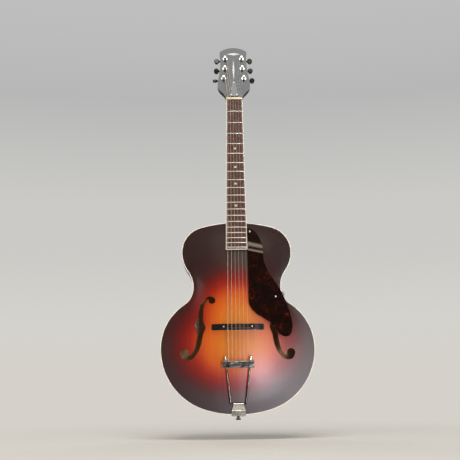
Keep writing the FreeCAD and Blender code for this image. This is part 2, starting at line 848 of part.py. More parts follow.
def post_holes():
    radius = bushing_barrel_radius + bushing_hole_clearance
    places = [tuner_place(number) for number in range(string_count)]
    return [rod(V(side * x, -overrun, z), BACK, radius, head_back + 2 * overrun) for side, x, z in places]


def neck_parts():
    """Neck with heel, tenon and headstock, and the veneer on the headstock's face."""
    shaft = [placed(piece, NECK) for piece in neck_shaft()]
    head = [placed(piece, HEAD) for piece in (head_slab(veneer_thickness, head_back), volute())]
    body = body_prism(0, top_level, back_level + overrun)
    over_board = placed(board_slab(0, board_end_z, neck_run, -board_lift, board_thickness), NECK)
    neck = fused([heel().cut([body, over_board]), shaft[0].cut(body), shaft[1]] + head + [tenon(0)])
    veneer = placed(head_slab(0, veneer_thickness), HEAD)
    cutters = [placed(nut_box(), NECK), placed(truss_pocket(), HEAD)]
    cutters += [placed(hole, HEAD) for hole in post_holes() + small_screw_holes()]
    neck = neck.cut(cutters + [placed(piece, NECK) for piece in truss_channel()])
    inlays = headstock_inlays()
    veneer = veneer.cut(cutters + inlays)
    return neck, veneer, group(inlays)


def headstock_inlays():
    """A plain crest and a slender lozenge of pearl, let into the veneer."""
    crest = [(-inlay_crest_width / 2, inlay_crest_z), (0, inlay_crest_z - inlay_crest_height / 2),
             (inlay_crest_width / 2, inlay_crest_z), (0, inlay_crest_z + inlay_crest_height / 2)]
    low, high = (inlay_strip_middle_z + way * inlay_strip_length / 2 for way in (-1, 1))
    strip = [(0, low), (inlay_strip_width / 2, inlay_strip_middle_z), (0, high),
             (-inlay_strip_width / 2, inlay_strip_middle_z)]
    return [placed(flat_prism(points, 0, inlay_thickness), HEAD) for points in (crest, strip)]


def truss_cover():
    """A bell-shaped cover over the truss rod's pocket."""
    low, high = cover_start, cover_start + cover_length
    waist = (cover_waist_width_share * cover_foot_half_width, low + cover_waist_share * cover_length)
    side = [(cover_foot_half_width, low), waist, (cover_tip_half_width, high - cover_tip_half_width)]
    y = -cover_thickness
    tip = Part.Arc(V(side[2][0], y, side[2][1]), V(0, y, high), V(-side[2][0], y, side[2][1])).toShape()
    foot = line_edge(V(-side[0][0], y, low), V(side[0][0], y, low))
    edges = [spline_edge(side, y), tip, spline_edge([(-x, z) for x, z in side], y), foot]
    cover = Part.Face(Part.Wire(Part.__sortEdges__(edges))).extrude(V(0, cover_thickness, 0))
    return placed(cover.cut([rod(V(x, y, z), BACK, screw_shank_radius, cover_thickness)
                             for x, z in cover_screw_places()]), HEAD)


def cover_screw_places():
    foot_z = cover_start + cover_foot_screw_share * cover_length
    return [(-cover_foot_screw_half_spread, foot_z), (cover_foot_screw_half_spread, foot_z),
            (0, cover_start + cover_tip_screw_share * cover_length)]


def plate_screw_places():
    places = []
    for number in range(string_count):
        side, x, z = tuner_place(number)
        for way in (-1, 1):
            places.append((side * x, z + plate_offset + way * (plate_length / 2 - plate_screw_inset)))
    return places


def small_screw_holes():
    front = [rod(V(x, -overrun, z), BACK, screw_shank_radius, overrun + screw_length)
             for x, z in cover_screw_places()]
    back = [rod(V(x, head_back + overrun, z), FRONT, screw_shank_radius, overrun + screw_length)
            for x, z in plate_screw_places()]
    return front + back


def slotted_screw(head_radius, head_height, shank_radius, length):
    """A round-headed screw along +Y, its head's seat at the origin."""
    head = rod(V(0, -head_height, 0), BACK, head_radius, head_height)
    rim = [edge for edge in head.Edges if edge.BoundBox.YMax < -head_height / 2]
    head = head.makeFillet(head_height * screw_slot_depth_share, rim)
    shank = rod(V(0, 0, 0), BACK, shank_radius, length)
    slot = box(-head_radius, head_radius, -head_height, -head_height * screw_slot_depth_share,
               -screw_slot_width / 2, screw_slot_width / 2)
    return fused([head, shank]).cut(slot)


def small_screws():
    """The screws of the truss-rod cover and of the tuner plates."""
    screw = slotted_screw(screw_head_radius, screw_head_height, screw_shank_radius, screw_length)
    turn = FreeCAD.Rotation(UP, 180)
    front = [FreeCAD.Placement(V(x, -cover_thickness, z), FreeCAD.Rotation())
             for x, z in cover_screw_places()]
    back = [FreeCAD.Placement(V(x, head_back + plate_thickness, z), turn) for x, z in plate_screw_places()]
    return group([placed(screw, HEAD.multiply(place)) for place in front + back])


# Tuners, built round the post's axis with the button to +X
gear_middle = head_back + plate_thickness + gear_lift + gear_thickness / 2
worm_distance = gear_tip_radius + worm_root_radius + worm_mesh_gap
worm_pitch = math.pi * (gear_root_radius + gear_tip_radius) / gear_teeth


def tuner_plate():
    """The plate on the back of the headstock with two lugs that carry the worm's shaft."""
    half, low = plate_width / 2, plate_offset - plate_length / 2
    high = low + plate_length
    slab = box(-half, half, head_back, head_back + plate_thickness, low + half, high - half)
    ends = [rod(V(0, head_back, z), BACK, half, plate_thickness) for z in (low + half, high - half)]
    lugs = []
    for x in (-lug_half_gap - lug_thickness, lug_half_gap):
        lugs.append(box(x, x + lug_thickness, head_back, head_back + plate_thickness + lug_height,
                        worm_distance - lug_width / 2, worm_distance + lug_width / 2))
    plate = fused([slab] + ends + lugs)
    shaft = rod(V(-plate_width, gear_middle, worm_distance), RIGHT, shaft_radius + shaft_clearance,
                2 * plate_width)
    post = rod(V(0, 0, 0), BACK, post_radius + post_clearance, head_back + plate_thickness)
    screws = [rod(V(0, head_back, z), BACK, screw_shank_radius, plate_thickness)
              for z in (low + plate_screw_inset, high - plate_screw_inset)]
    return plate.cut([shaft, post] + screws)


def tuner_bushing():
    """The flanged sleeve that the post turns in."""
    flange = rod(V(0, -bushing_flange_thickness, 0), BACK, bushing_flange_radius, bushing_flange_thickness)
    barrel = rod(V(0, 0, 0), BACK, bushing_barrel_radius, bushing_length)
    bore = rod(V(0, -bushing_flange_thickness, 0), BACK, post_radius + post_clearance,
               bushing_flange_thickness + bushing_length)
    return fused([flange, barrel]).cut(bore)


def tuner_post():
    """The string post and, fixed on its inner end, the toothed gear."""
    gear_front = gear_middle - gear_thickness / 2
    length = post_height + gear_front + gear_thickness
    post = fused([rod(V(0, -post_height, 0), BACK, post_radius, length),
                  rod(V(0, -post_height, 0), BACK, post_end_radius, length + post_end_length)])
    hole = rod(V(-post_radius, -post_hole_height, 0), RIGHT, post_hole_radius, 2 * post_radius)
    pitch = 2 * math.pi / gear_teeth
    points = []
    for tooth in range(gear_teeth):
        middle = (tooth + 0.5) * pitch
        foot, tip = gear_tooth_foot_share * pitch / 2, gear_tooth_tip_share * pitch / 2
        for radius, swing in ((gear_root_radius, -foot), (gear_tip_radius, -tip),
                              (gear_tip_radius, tip), (gear_root_radius, foot)):
            points.append((radius * math.sin(middle + swing), radius * math.cos(middle + swing)))
    gear = flat_prism(points, gear_front, gear_front + gear_thickness)
    gear = gear.cut(rod(V(0, gear_front, 0), BACK, post_radius, gear_thickness))
    return group([post.cut(hole), gear])


def tuner_worm():
    """The worm and its shaft, which ends inside the button."""
    height = worm_turns * worm_pitch
    helix = Part.makeHelix(worm_pitch, height, worm_root_radius)
    foot, tip = worm_thread_foot_share * worm_pitch / 2, worm_thread_tip_share * worm_pitch / 2
    inner = (worm_root_radius + shaft_radius) / 2
    corners = [V(inner, 0, -foot), V(worm_tip_radius, 0, -tip), V(worm_tip_radius, 0, tip), V(inner, 0, foot)]
    thread = Part.Wire(helix.Edges).makePipeShell([Part.makePolygon(corners + corners[:1])], True, True)
    frame = FreeCAD.Placement(V(-height / 2, gear_middle, worm_distance), FreeCAD.Rotation(V(1, 0, 1), 180))
    end = -lug_half_gap - lug_thickness - shaft_end_length
    core = rod(V(-worm_length / 2, gear_middle, worm_distance), RIGHT, worm_root_radius, worm_length)
    shaft = rod(V(end, gear_middle, worm_distance), RIGHT, shaft_radius,
                button_reach + button_seat_depth - end)
    return fused([core, shaft, placed(thread, frame)])


def tuner_button(turn):
    """The oval button with its collar, bored for the shaft and turned as it was left."""
    middle = button_reach + button_length / 2
    circle = Part.Wire(Part.makeCircle(1, V(0, 0, 0), BACK))
    stretch = FreeCAD.Matrix()
    stretch.scale(button_length / 2, 1, button_half_width)
    face = Part.Face(circle.transformGeometry(stretch))
    oval = face.extrude(V(0, button_thickness, 0))
    rims = [edge for edge in oval.Edges if edge.BoundBox.YLength < glue_gap]
    oval = oval.makeFillet(button_rounding, rims)
    oval.translate(V(middle, -button_thickness / 2, 0))
    collar = rod(V(button_reach - button_collar_length, 0, 0), RIGHT, button_collar_radius,
                 button_collar_length + button_seat_depth)
    bore = rod(V(button_reach - button_collar_length, 0, 0), RIGHT, shaft_radius,
               button_collar_length + button_seat_depth)
    button = fused([oval, collar]).cut(bore)
    return placed(button, FreeCAD.Placement(V(0, gear_middle, worm_distance), FreeCAD.Rotation(RIGHT, turn)))


def on_headstock(shape, number):
    """A tuner's piece at its own place, mirrored on the bass side."""
    side, x, z = tuner_place(number)
    piece = shape if side > 0 else shape.mirror(V(0, 0, 0), RIGHT)
    return placed(piece, HEAD.multiply(FreeCAD.Placement(V(side * x, 0, z), FreeCAD.Rotation())))


# Strings
def string_x(number, spread):
    return (number / (string_count - 1) - 0.5) * spread


def saddle_point(number):
    x = string_x(number, bridge_string_spread)
    return NECK.multVec(V(x, crown_drop(x) - bridge_string_height, neck_run - scale_length))


def nut_point(number):
    x = string_x(number, nut_string_spread)
    lift = fret_crown_height + nut_string_gap + string_diameters[number] / 2
    return NECK.multVec(V(x, crown_drop(x) - lift, neck_run + nut_thickness / 2))


def post_winding(number):
    """Edges from the nut to the post and round it, in the guitar's frame."""
    side, post_x, post_z = tuner_place(number)
    radius = post_radius + string_turn_clearance + string_diameters[number] / 2
    start = HEAD.inverse().multVec(nut_point(number))
    away = math.hypot(post_x * side - start.x, post_z - start.z)
    bearing = math.atan2(start.z - post_z, start.x - side * post_x) - side * math.acos(radius / away)
    pitch = string_diameters[number] + string_turn_gap
    marks = []
    for quarter in range(4 * string_turns[number] + 1):
        angle = bearing - side * quarter * math.pi / 2
        place = V(side * post_x + radius * math.cos(angle), -string_post_height + pitch * quarter / 4,
                  post_z + radius * math.sin(angle))
        way = V(side * radius * math.sin(angle), pitch / (2 * math.pi), -side * radius * math.cos(angle))
        marks.append((place, way.normalize()))
    marks[0] = (marks[0][0], (marks[0][0] - start).normalize())
    edges = []
    for (place, way), (after, way_after) in zip(marks, marks[1:]):
        edges += biarc(HEAD.multVec(place), HEAD.Rotation.multVec(way),
                       HEAD.multVec(after), HEAD.Rotation.multVec(way_after))
    return HEAD.multVec(marks[0][0]), edges


def string_notch(number, point):
    """The cutter for the notch that a string rests in, along the string's own bend at that point."""
    radius = string_diameters[number] / 2 + string_notch_clearance
    ends = (tail_string_start(number), saddle_point(number), nut_point(number), post_winding(number)[0])
    here = ends.index(point)
    before, after = (point + (ends[step] - point).normalize() * saddle_width for step in (here - 1, here + 1))
    bend = rounded_run([before, point, after], string_bend_radius)
    return tube(bend, radius, f"notch of string {number + 1}")


def string_gap(edges, diameter):
    """The least gap between turns that are at least half a turn apart along a string."""
    points = []
    for edge in edges:
        for step in range(6):
            first, last = edge.FirstParameter, edge.LastParameter
            points.append(edge.valueAt(first + (last - first) * step / 6))
    half_turn = 24
    return min((points[a] - points[b]).Length for a in range(len(points))
               for b in range(a + half_turn, len(points))) - diameter


def guitar_string(number):
    """One string, whole, from the tailpiece over saddle and nut and round its post, and its ball end."""
    diameter = string_diameters[number]
    first_touch, winding = post_winding(number)
    corners = [tail_string_start(number), saddle_point(number), nut_point(number), first_touch]
    edges = rounded_run(corners, string_bend_radius) + winding
    print(f"string {number + 1}: least gap to itself {string_gap(edges[-len(winding) - 1:], diameter):.2f}")
    ball = rod(V(string_x(number, tail_string_spread), -ball_length / 2, ball_level - ball_radius), BACK,
               ball_radius, ball_length)
    return [tube(edges, diameter / 2, f"string {number + 1}"), placed(ball, TAIL)]


def nut():
    lift = fret_crown_height + nut_string_gap + nut_notch_share * string_diameters[0]
    blank = nut_box().common(round_face(lift))
    half = board_nut_width / 2 - nut_end_gap
    blank = blank.common(box(-half, half, -overrun, board_thickness, neck_run, neck_run + nut_thickness))
    notches = [string_notch(number, nut_point(number)) for number in range(string_count)]
    return placed(blank, NECK).cut(notches)


# Bridge
base_top = top_level - top_arch * arch_share(0, bridge_z) - bridge_base_height
wheel_back = base_top - wheel_rise
wheel_front = wheel_back - wheel_thickness
saddle_back = wheel_front - wheel_saddle_gap


def bridge_base():
    """The foot of the bridge, carved to the arch, thinner at its ends and drilled for the posts."""
    half, inner = bridge_base_length / 2, bridge_base_length / 2 - bridge_base_end_run
    low = top_level
    end_top = top_level - top_arch * arch_share(half, bridge_z) - bridge_base_end_height
    corners = [(-half, low), (-half, end_top), (-inner, base_top),
               (inner, base_top), (half, end_top), (half, low)]
    z0 = bridge_z - bridge_base_width / 2
    wire = Part.makePolygon([V(x, y, z0) for x, y in corners + corners[:1]])
    blank = Part.Face(wire).extrude(V(0, 0, bridge_base_width))
    under = arch_face(top_level - glue_gap, -top_arch).extrude(V(0, top_arch + 2 * overrun, 0))
    holes = [rod(V(x, base_top, bridge_z), BACK, bridge_post_radius, bridge_post_seat)
             for x in (-bridge_post_spacing / 2, bridge_post_spacing / 2)]
    return blank.cut([under] + holes)


def bridge_posts():
    x_post = bridge_post_spacing / 2
    tip = saddle_middle.y + crown_drop(x_post) - bridge_post_proud
    return group([rod(V(x, tip, bridge_z), BACK, bridge_post_radius, base_top + bridge_post_seat - tip)
                  for x in (-x_post, x_post)])


def thumbwheel(side):
    """A wheel with a fluted rim, threaded on a bridge post."""
    x = side * bridge_post_spacing / 2
    wheel = rod(V(x, wheel_front, bridge_z), BACK, wheel_radius, wheel_thickness)
    bore = rod(V(x, wheel_front, bridge_z), BACK, bridge_post_radius + thread_clearance, wheel_thickness)
    flutes = []
    for step in range(wheel_flutes):
        angle = 2 * math.pi * step / wheel_flutes
        place = V(x + wheel_radius * math.cos(angle), wheel_front, bridge_z + wheel_radius * math.sin(angle))
        flutes.append(rod(place, BACK, wheel_flute_radius, wheel_thickness))
    return wheel.cut([bore] + flutes)


def bridge_saddle():
    """The notched saddle that rides on the wheels."""
    half, foot, crest = saddle_length / 2, saddle_width / 2, saddle_top_width / 2
    top = saddle_middle.y
    corners = [(saddle_back, -foot), (top, -crest), (top, crest), (saddle_back, foot)]
    wire = Part.makePolygon([V(-half, y, bridge_z + z) for y, z in corners + corners[:1]])
    blank = Part.Face(wire).extrude(V(saddle_length, 0, 0))
    rounded = rod(V(0, board_radius, neck_run - scale_length - saddle_width), UP,
                  board_radius + bridge_string_height, 2 * saddle_width)
    hole_radius = bridge_post_radius + saddle_hole_clearance
    holes = [rod(V(x, saddle_back, bridge_z), FRONT, hole_radius, saddle_back - top)
             for x in (-bridge_post_spacing / 2, bridge_post_spacing / 2)]
    notches = [string_notch(number, saddle_point(number)) for number in range(string_count)]
    return blank.common(placed(rounded, NECK)).cut(holes + notches)


# Tailpiece, in a frame at its hinge with +Z towards the saddle
hinge_level = top_level - tail_hinge_lift
tail_lean = math.degrees(math.atan2(hinge_level - saddle_middle.y, bridge_z - tail_hinge_z))
TAIL = FreeCAD.Placement(V(0, hinge_level, tail_hinge_z), FreeCAD.Rotation(RIGHT, tail_lean))
tail_bar_distance = tail_bar_place_share * (bridge_z - tail_hinge_z)
bar_top = tail_bar_distance + tail_bar_height / 2
ball_level = bar_top - tail_bar_sheet - ball_gap


def tail_string_start(number):
    return TAIL.multVec(V(string_x(number, tail_string_spread), 0, ball_level))


def wire_corners():
    """The trapeze wire's corners: up one side, across through the leaf's roll, up the other."""
    slope = (tail_wire_spread_bar - tail_wire_spread_leaf) / (tail_bar_distance - tail_leaf_length)
    cap_seat = bar_top + tail_cap_radius * slope / 2 + tail_wire_fit
    top = tail_wire_spread_leaf + slope * (cap_seat - tail_leaf_length)
    return [V(-top / 2, 0, cap_seat), V(-tail_wire_spread_leaf / 2, 0, tail_leaf_length),
            V(tail_wire_spread_leaf / 2, 0, tail_leaf_length), V(top / 2, 0, cap_seat)]


def tailpiece_wire():
    """The bent wire and the cap on each of its ends, above the crossbar."""
    corners = wire_corners()
    wire = tube(rounded_run(corners, tail_wire_bend), tail_wire_diameter / 2, "trapeze wire")
    caps = []
    for end, before in ((corners[0], corners[1]), (corners[3], corners[2])):
        way = (end - before).normalize()
        cap = rod(end, way, tail_cap_radius, tail_cap_length)
        rim = max(cap.Edges, key=lambda edge: edge.BoundBox.ZMin + edge.BoundBox.ZMax)
        caps.append(cap.makeFillet(tail_cap_radius * screw_slot_depth_share, [rim]))
    return placed(group([wire] + caps), TAIL)


def tailpiece_crossbar():
    """A shallow channel, open at the back, that holds the ball ends and hangs on the wire."""
    half, depth = tail_bar_length / 2, tail_bar_depth / 2
    low = tail_bar_distance - tail_bar_height / 2
    bar = box(-half, half, -depth, depth, low, bar_top)
    front = [edge for edge in bar.Edges if edge.BoundBox.YMax < 0]
    bar = bar.makeFillet(tail_bar_corner, front)
    inside = box(-half + tail_bar_sheet, half - tail_bar_sheet, -depth + tail_bar_sheet, depth + overrun,
                 low + tail_bar_sheet, bar_top - tail_bar_sheet)
    cutters = [inside]
    for number in range(string_count):
        radius = string_diameters[number] / 2 + tail_string_hole_clearance
        x = string_x(number, tail_string_spread)
        cutters.append(rod(V(x, 0, ball_level), UP, radius, 2 * tail_bar_sheet))
    corners = wire_corners()
    for end, before in ((corners[0], corners[1]), (corners[3], corners[2])):
        way = (end - before).normalize()
        start = end - way * (tail_bar_height + overrun)
        cutters.append(rod(start, way, tail_wire_diameter / 2 + tail_wire_fit, tail_bar_height + 2 * overrun))
    return placed(bar.cut(cutters), TAIL)


def across(radius, x0, x1, y, z):
    """A round bar from side to side."""
    return rod(V(x0, y, z), RIGHT, radius, x1 - x0)


def tailpiece_leaf():
    """The moving leaf: a knuckle on the hinge pin, a plate and a roll round the wire."""
    half_knuckle, half_roll = tail_knuckle_width / 2, tail_roll_width / 2
    clear = tail_barrel_radius + tail_knuckle_gap
    sheet = tail_leaf_thickness / 2
    foot = tail_leaf_foot_width / 2
    corners = [(-foot, clear), (foot, clear), (half_roll, tail_leaf_length), (-half_roll, tail_leaf_length)]
    plate = flat_prism(corners, -sheet, sheet)
    tab = box(-half_knuckle, half_knuckle, -sheet, sheet, 0, clear)
    knuckle = across(tail_barrel_radius, -half_knuckle, half_knuckle, 0, 0)
    roll = across(tail_roll_radius, -half_roll, half_roll, 0, tail_leaf_length)
    leaf = fused([plate, tab, knuckle, roll])
    bore_end = half_roll + overrun
    bores = [across(tail_pin_radius + tail_pin_clearance, -half_knuckle, half_knuckle, 0, 0),
             across(tail_wire_diameter / 2 + tail_roll_clearance, -bore_end, bore_end, 0, tail_leaf_length)]
    return placed(leaf.cut(bores), TAIL)


def tailpiece_hinge_pin():
    half = tail_bracket_width / 2
    return across(tail_pin_radius, -half, half, hinge_level, tail_hinge_z)


def tail_screw_places():
    low = inner_front + tail_screw_inset
    return [(-tail_screw_half_spread, low), (tail_screw_half_spread, low),
            (0, top_level + tail_bracket_drop - tail_screw_inset)]


def tail_screw_holes():
    return [rod(V(x, y, -overrun), UP, tail_screw_radius, overrun + tail_screw_length)
            for x, y in tail_screw_places()]


def tailpiece_bracket():
    """The fixed bracket: knuckles on the top's edge, bent down over the tail and screwed to it."""
    half = tail_bracket_width / 2
    seat = top_level - tail_bracket_seat_gap
    plate = box(-half, half, seat - tail_bracket_thickness, seat,
                -tail_bracket_seat_gap - tail_bracket_thickness, tail_hinge_z)
    leg = box(-half, half, seat - tail_bracket_thickness, top_level + tail_bracket_drop,
              -tail_bracket_seat_gap - tail_bracket_thickness, -tail_bracket_seat_gap)
    pieces = [plate, leg]
    inner = tail_knuckle_width / 2 + tail_knuckle_gap
    for x0, x1 in ((-half, -inner), (inner, half)):
        pieces.append(across(tail_barrel_radius, x0, x1, hinge_level, tail_hinge_z))
        pieces.append(box(x0, x1, hinge_level, seat, tail_hinge_z - tail_barrel_radius, tail_hinge_z))
    pin = across(tail_pin_radius, -half, half, hinge_level, tail_hinge_z)
    return fused(pieces).cut([pin, end_pin_hole()] + tail_screw_holes())


def tailpiece_screws():
    screw = slotted_screw(tail_screw_head_radius, tail_screw_head_height, tail_screw_radius,
                          tail_screw_length)
    seat = -tail_bracket_seat_gap - tail_bracket_thickness
    turn = FreeCAD.Rotation(RIGHT, 90)
    return group([placed(screw, FreeCAD.Placement(V(x, y, seat), turn)) for x, y in tail_screw_places()])


def end_pin():
    """The turned pin in the tail: shank, collar, neck and head."""
    seat = -tail_bracket_seat_gap - tail_bracket_thickness
    collar, neck = seat - pin_collar_length, seat - pin_collar_length - pin_neck_length
    head = neck - pin_head_length
    corners = [(0, pin_shank_length), (pin_shank_radius, pin_shank_length), (pin_shank_radius, seat),
               (pin_collar_radius, seat), (pin_collar_radius, collar), (pin_neck_radius, collar),
               (pin_neck_radius, neck), (pin_head_radius, neck), (pin_head_radius, head), (0, head)]
    face = Part.Face(Part.makePolygon([V(x, 0, z) for x, z in corners + corners[:1]]))
    return face.revolve(V(0, 0, 0), UP, 360)


# Pickguard, in the neck's frame, level with the fingerboard
guard_left = board_end_width / 2 + guard_board_gap
guard_length = scale_length - neck_run + guard_bridge_pass - guard_top_drop
guard_under = guard_drop + guard_thickness
guard_rim_screw_x = waist_width / 2 - guard_rim_screw_inset
guard_rim_screw_z = waist_height - guard_rim_screw_drop
rim_way = math.atan2(waist_arc_z - guard_rim_screw_z, waist_arc_x - guard_rim_screw_x)
rim_reach = math.hypot(waist_arc_z - guard_rim_screw_z, waist_arc_x - guard_rim_screw_x) - waist_arc_radius
leg_inner = rim_reach + bracket_width ** 2 / (8 * waist_arc_radius) + bracket_rib_gap
bracket_turn = FreeCAD.Rotation(BACK, -math.degrees(rim_way))
guard_screw_places = ((guard_left + guard_neck_screw_inset, -guard_top_drop - guard_neck_screw_drop),
                      (guard_rim_screw_x, guard_rim_screw_z - body_length))


def guard_screw_holes():
    length = overrun + guard_thickness + guard_screw_grip
    return [rod(V(x, guard_drop - overrun, z), BACK, guard_screw_shank, length)
            for x, z in guard_screw_places]


def pickguard():
    top = -guard_top_drop
    curve = [(guard_left, top)]
    curve += [(guard_left + across_share * guard_width, top - down_share * guard_length)
              for across_share, down_share in guard_shares]
    curve.append((guard_left, top - guard_straight_share * guard_length))
    start, end = (V(x, guard_drop, z) for x, z in (curve[0], curve[-1]))
    face = Part.Face(Part.Wire([spline_edge(curve, guard_drop), line_edge(end, start)]))
    return placed(face.extrude(V(0, guard_thickness, 0)).cut(guard_screw_holes()), NECK)


def rib_screw_frame():
    """Where the bracket's leg is screwed to the rib, with +Y going into the rib."""
    level = top_level + bracket_drop - bracket_width / 2
    turn = bracket_turn.multiply(FreeCAD.Rotation(UP, 90))
    out = leg_inner + bracket_thickness
    place = V(guard_rim_screw_x + out * math.cos(rim_way), level, guard_rim_screw_z + out * math.sin(rim_way))
    return FreeCAD.Placement(place, turn)


def bracket_rib_hole():
    length = bracket_thickness + rib_thickness + guard_screw_grip
    return placed(rod(V(0, 0, 0), BACK, guard_screw_shank, length), rib_screw_frame())


def pickguard_supports():
    """The post under the guard's neck end and the bent bracket from the rib to its middle."""
    x, z = guard_screw_places[0]
    head = NECK.multVec(V(x, guard_under, z))
    ground = top_level - top_arch * arch_share(head.x, head.z) - glue_gap
    lean = math.radians(neck_angle)
    height = (ground - head.y) / math.cos(lean) - guard_post_radius * math.tan(lean)
    post = rod(V(x, guard_under, z), BACK, guard_post_radius, height)
    x, z = guard_screw_places[1]
    strip = box(-bracket_inner_reach, leg_inner + bracket_thickness, bracket_guard_gap,
                bracket_guard_gap + bracket_thickness, -bracket_width / 2, bracket_width / 2)
    strip = placed(strip, NECK.multiply(FreeCAD.Placement(V(x, guard_under, z), bracket_turn)))
    level = NECK.multVec(V(x, guard_under, z)).y
    leg = box(leg_inner, leg_inner + bracket_thickness, level + bracket_thickness / 2,
              top_level + bracket_drop, -bracket_width / 2, bracket_width / 2)
    leg = placed(leg, FreeCAD.Placement(V(x, 0, guard_rim_screw_z), bracket_turn))
    holes = [placed(hole, NECK) for hole in guard_screw_holes()]
    return group([placed(post, NECK).cut(holes), fused([strip, leg]).cut(holes + [bracket_rib_hole()])])


def pickguard_screws():
    guard_screw = slotted_screw(guard_screw_radius, guard_screw_height, guard_screw_shank,
                                guard_thickness + guard_screw_grip)
    rib_screw = slotted_screw(guard_screw_radius, guard_screw_height, guard_screw_shank,
                              bracket_thickness + rib_thickness + guard_screw_grip)
    places = [NECK.multiply(FreeCAD.Placement(V(x, guard_drop, z), FreeCAD.Rotation()))
              for x, z in guard_screw_places]
    return group([placed(guard_screw, place) for place in places] + [placed(rib_screw, rib_screw_frame())])


def guitar():
    """Every node of the guitar by name."""
    nodes = {}
    top = arched_plate(top_level, top_thickness, top_arch, -1)
    nodes["top_plate"] = top.cut(f_hole(-1) + f_hole(1))
    nodes["back_plate"] = arched_plate(back_level, back_thickness, back_arch, 1)
    ribs, blocks, linings, bindings = rim_parts()
    nodes["bass_rib"], nodes["treble_rib"] = ribs
    nodes["neck_block"], nodes["end_block"] = blocks
    nodes["top_lining"], nodes["back_lining"] = (group([lining]) for lining in linings)
    nodes["top_binding"], nodes["back_binding"] = bindings
    nodes["tone_bars"] = tone_bars()
    nodes["neck"], nodes["headstock_veneer"], nodes["headstock_inlays"] = neck_parts()
    for name, shape in zip(("fingerboard", "fingerboard_binding", "frets", "position_dots"), board_parts()):
        nodes[name] = placed(shape, NECK)
    nodes["nut"] = nut()
    for name, shape in zip(("truss_rod", "truss_rod_nut"), truss_parts()):
        nodes[name] = placed(shape, NECK)
    nodes["truss_rod_cover"] = truss_cover()
    nodes["small_screws"] = small_screws()
    tuners = range(string_count)
    nodes["tuner_plates"] = group([on_headstock(tuner_plate(), number) for number in tuners])
    nodes["tuner_bushings"] = group([on_headstock(tuner_bushing(), number) for number in tuners])
    for number in tuners:
        nodes[f"tuner_post_{number + 1}"] = on_headstock(tuner_post(), number)
        nodes[f"tuner_worm_{number + 1}"] = on_headstock(tuner_worm(), number)
        nodes[f"tuner_button_{number + 1}"] = on_headstock(tuner_button(button_turns[number]), number)
    strings = [guitar_string(number) for number in tuners]
    nodes["wound_strings"] = group([piece for pieces in strings[:wound_string_count] for piece in pieces])
    nodes["plain_strings"] = group([piece for pieces in strings[wound_string_count:] for piece in pieces])
    nodes["bridge_base"] = bridge_base()
    nodes["bridge_posts"] = bridge_posts()
    nodes["thumbwheel_bass"] = thumbwheel(-1)
    nodes["thumbwheel_treble"] = thumbwheel(1)
    nodes["bridge_saddle"] = bridge_saddle()
    nodes["tailpiece_bracket"] = tailpiece_bracket()
    nodes["tailpiece_hinge_pin"] = tailpiece_hinge_pin()
    nodes["tailpiece_leaf"] = tailpiece_leaf()
    nodes["tailpiece_wire"] = tailpiece_wire()
    nodes["tailpiece_crossbar"] = tailpiece_crossbar()
    nodes["tailpiece_screws"] = tailpiece_screws()
    nodes["end_pin"] = end_pin()
    nodes["pickguard"] = pickguard()
    nodes["pickguard_supports"] = pickguard_supports()
    nodes["pickguard_screws"] = pickguard_screws()
    return nodes


os.makedirs("parts", exist_ok=True)
for node, shape in guitar().items():
    print(f"{node}: {len(shape.Solids)} solids, valid {shape.isValid()}, volume {shape.Volume:.1f}")
    shape.exportStep(f"parts/{node}.step")
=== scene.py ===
# %% [markdown]
# An archtop guitar
#
# The frame is the guitar as a maker would lay it on the bench: every piece at its real size and place,
# in metres, with +Z up the neck and -Y to the front. This lesson leaves those pieces where they are. It
# gives each one its finish, rounds the corners that a maker's files and polish would round, and strings
# the instrument with wire that follows the bridge.

import json
import math

import bmesh
import bpy
from mathutils import Matrix, Vector


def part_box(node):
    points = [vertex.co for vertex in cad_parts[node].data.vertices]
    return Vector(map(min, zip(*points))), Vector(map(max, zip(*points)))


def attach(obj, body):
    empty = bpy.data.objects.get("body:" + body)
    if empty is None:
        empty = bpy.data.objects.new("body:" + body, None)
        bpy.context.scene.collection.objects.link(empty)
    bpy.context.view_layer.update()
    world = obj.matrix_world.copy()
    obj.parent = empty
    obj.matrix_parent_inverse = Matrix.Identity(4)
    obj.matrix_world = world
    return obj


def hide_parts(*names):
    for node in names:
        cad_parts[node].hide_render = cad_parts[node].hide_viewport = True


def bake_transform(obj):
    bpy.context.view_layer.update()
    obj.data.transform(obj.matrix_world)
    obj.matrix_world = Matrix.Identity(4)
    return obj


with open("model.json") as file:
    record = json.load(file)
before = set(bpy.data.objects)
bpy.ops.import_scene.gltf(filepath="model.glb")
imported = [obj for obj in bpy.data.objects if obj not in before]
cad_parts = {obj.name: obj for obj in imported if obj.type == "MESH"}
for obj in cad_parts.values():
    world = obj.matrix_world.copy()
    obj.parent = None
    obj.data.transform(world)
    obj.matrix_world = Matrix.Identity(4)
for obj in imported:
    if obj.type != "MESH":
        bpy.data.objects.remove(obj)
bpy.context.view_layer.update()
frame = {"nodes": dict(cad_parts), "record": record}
MM = 0.001
scene = bpy.context.scene

# %% [markdown]
# Two small helpers for finishes
#
# A paint chart gives colours as the screen shows them, but a shader works with light, so one function
# turns a hex colour into linear values. The other adds one node to a material: what is a socket is linked,
# what is a number or a colour is typed in, and a colour ramp gets its stops from a list.


# %% Colour and node helpers
def linear(hex_colour):
    """An sRGB hex colour as linear red, green, blue and alpha."""
    channels = [int(hex_colour[start:start + 2], 16) / 255 for start in (1, 3, 5)]
    return [c / 12.92 if c <= 0.04045 else ((c + 0.055) / 1.055) ** 2.4 for c in channels] + [1.0]


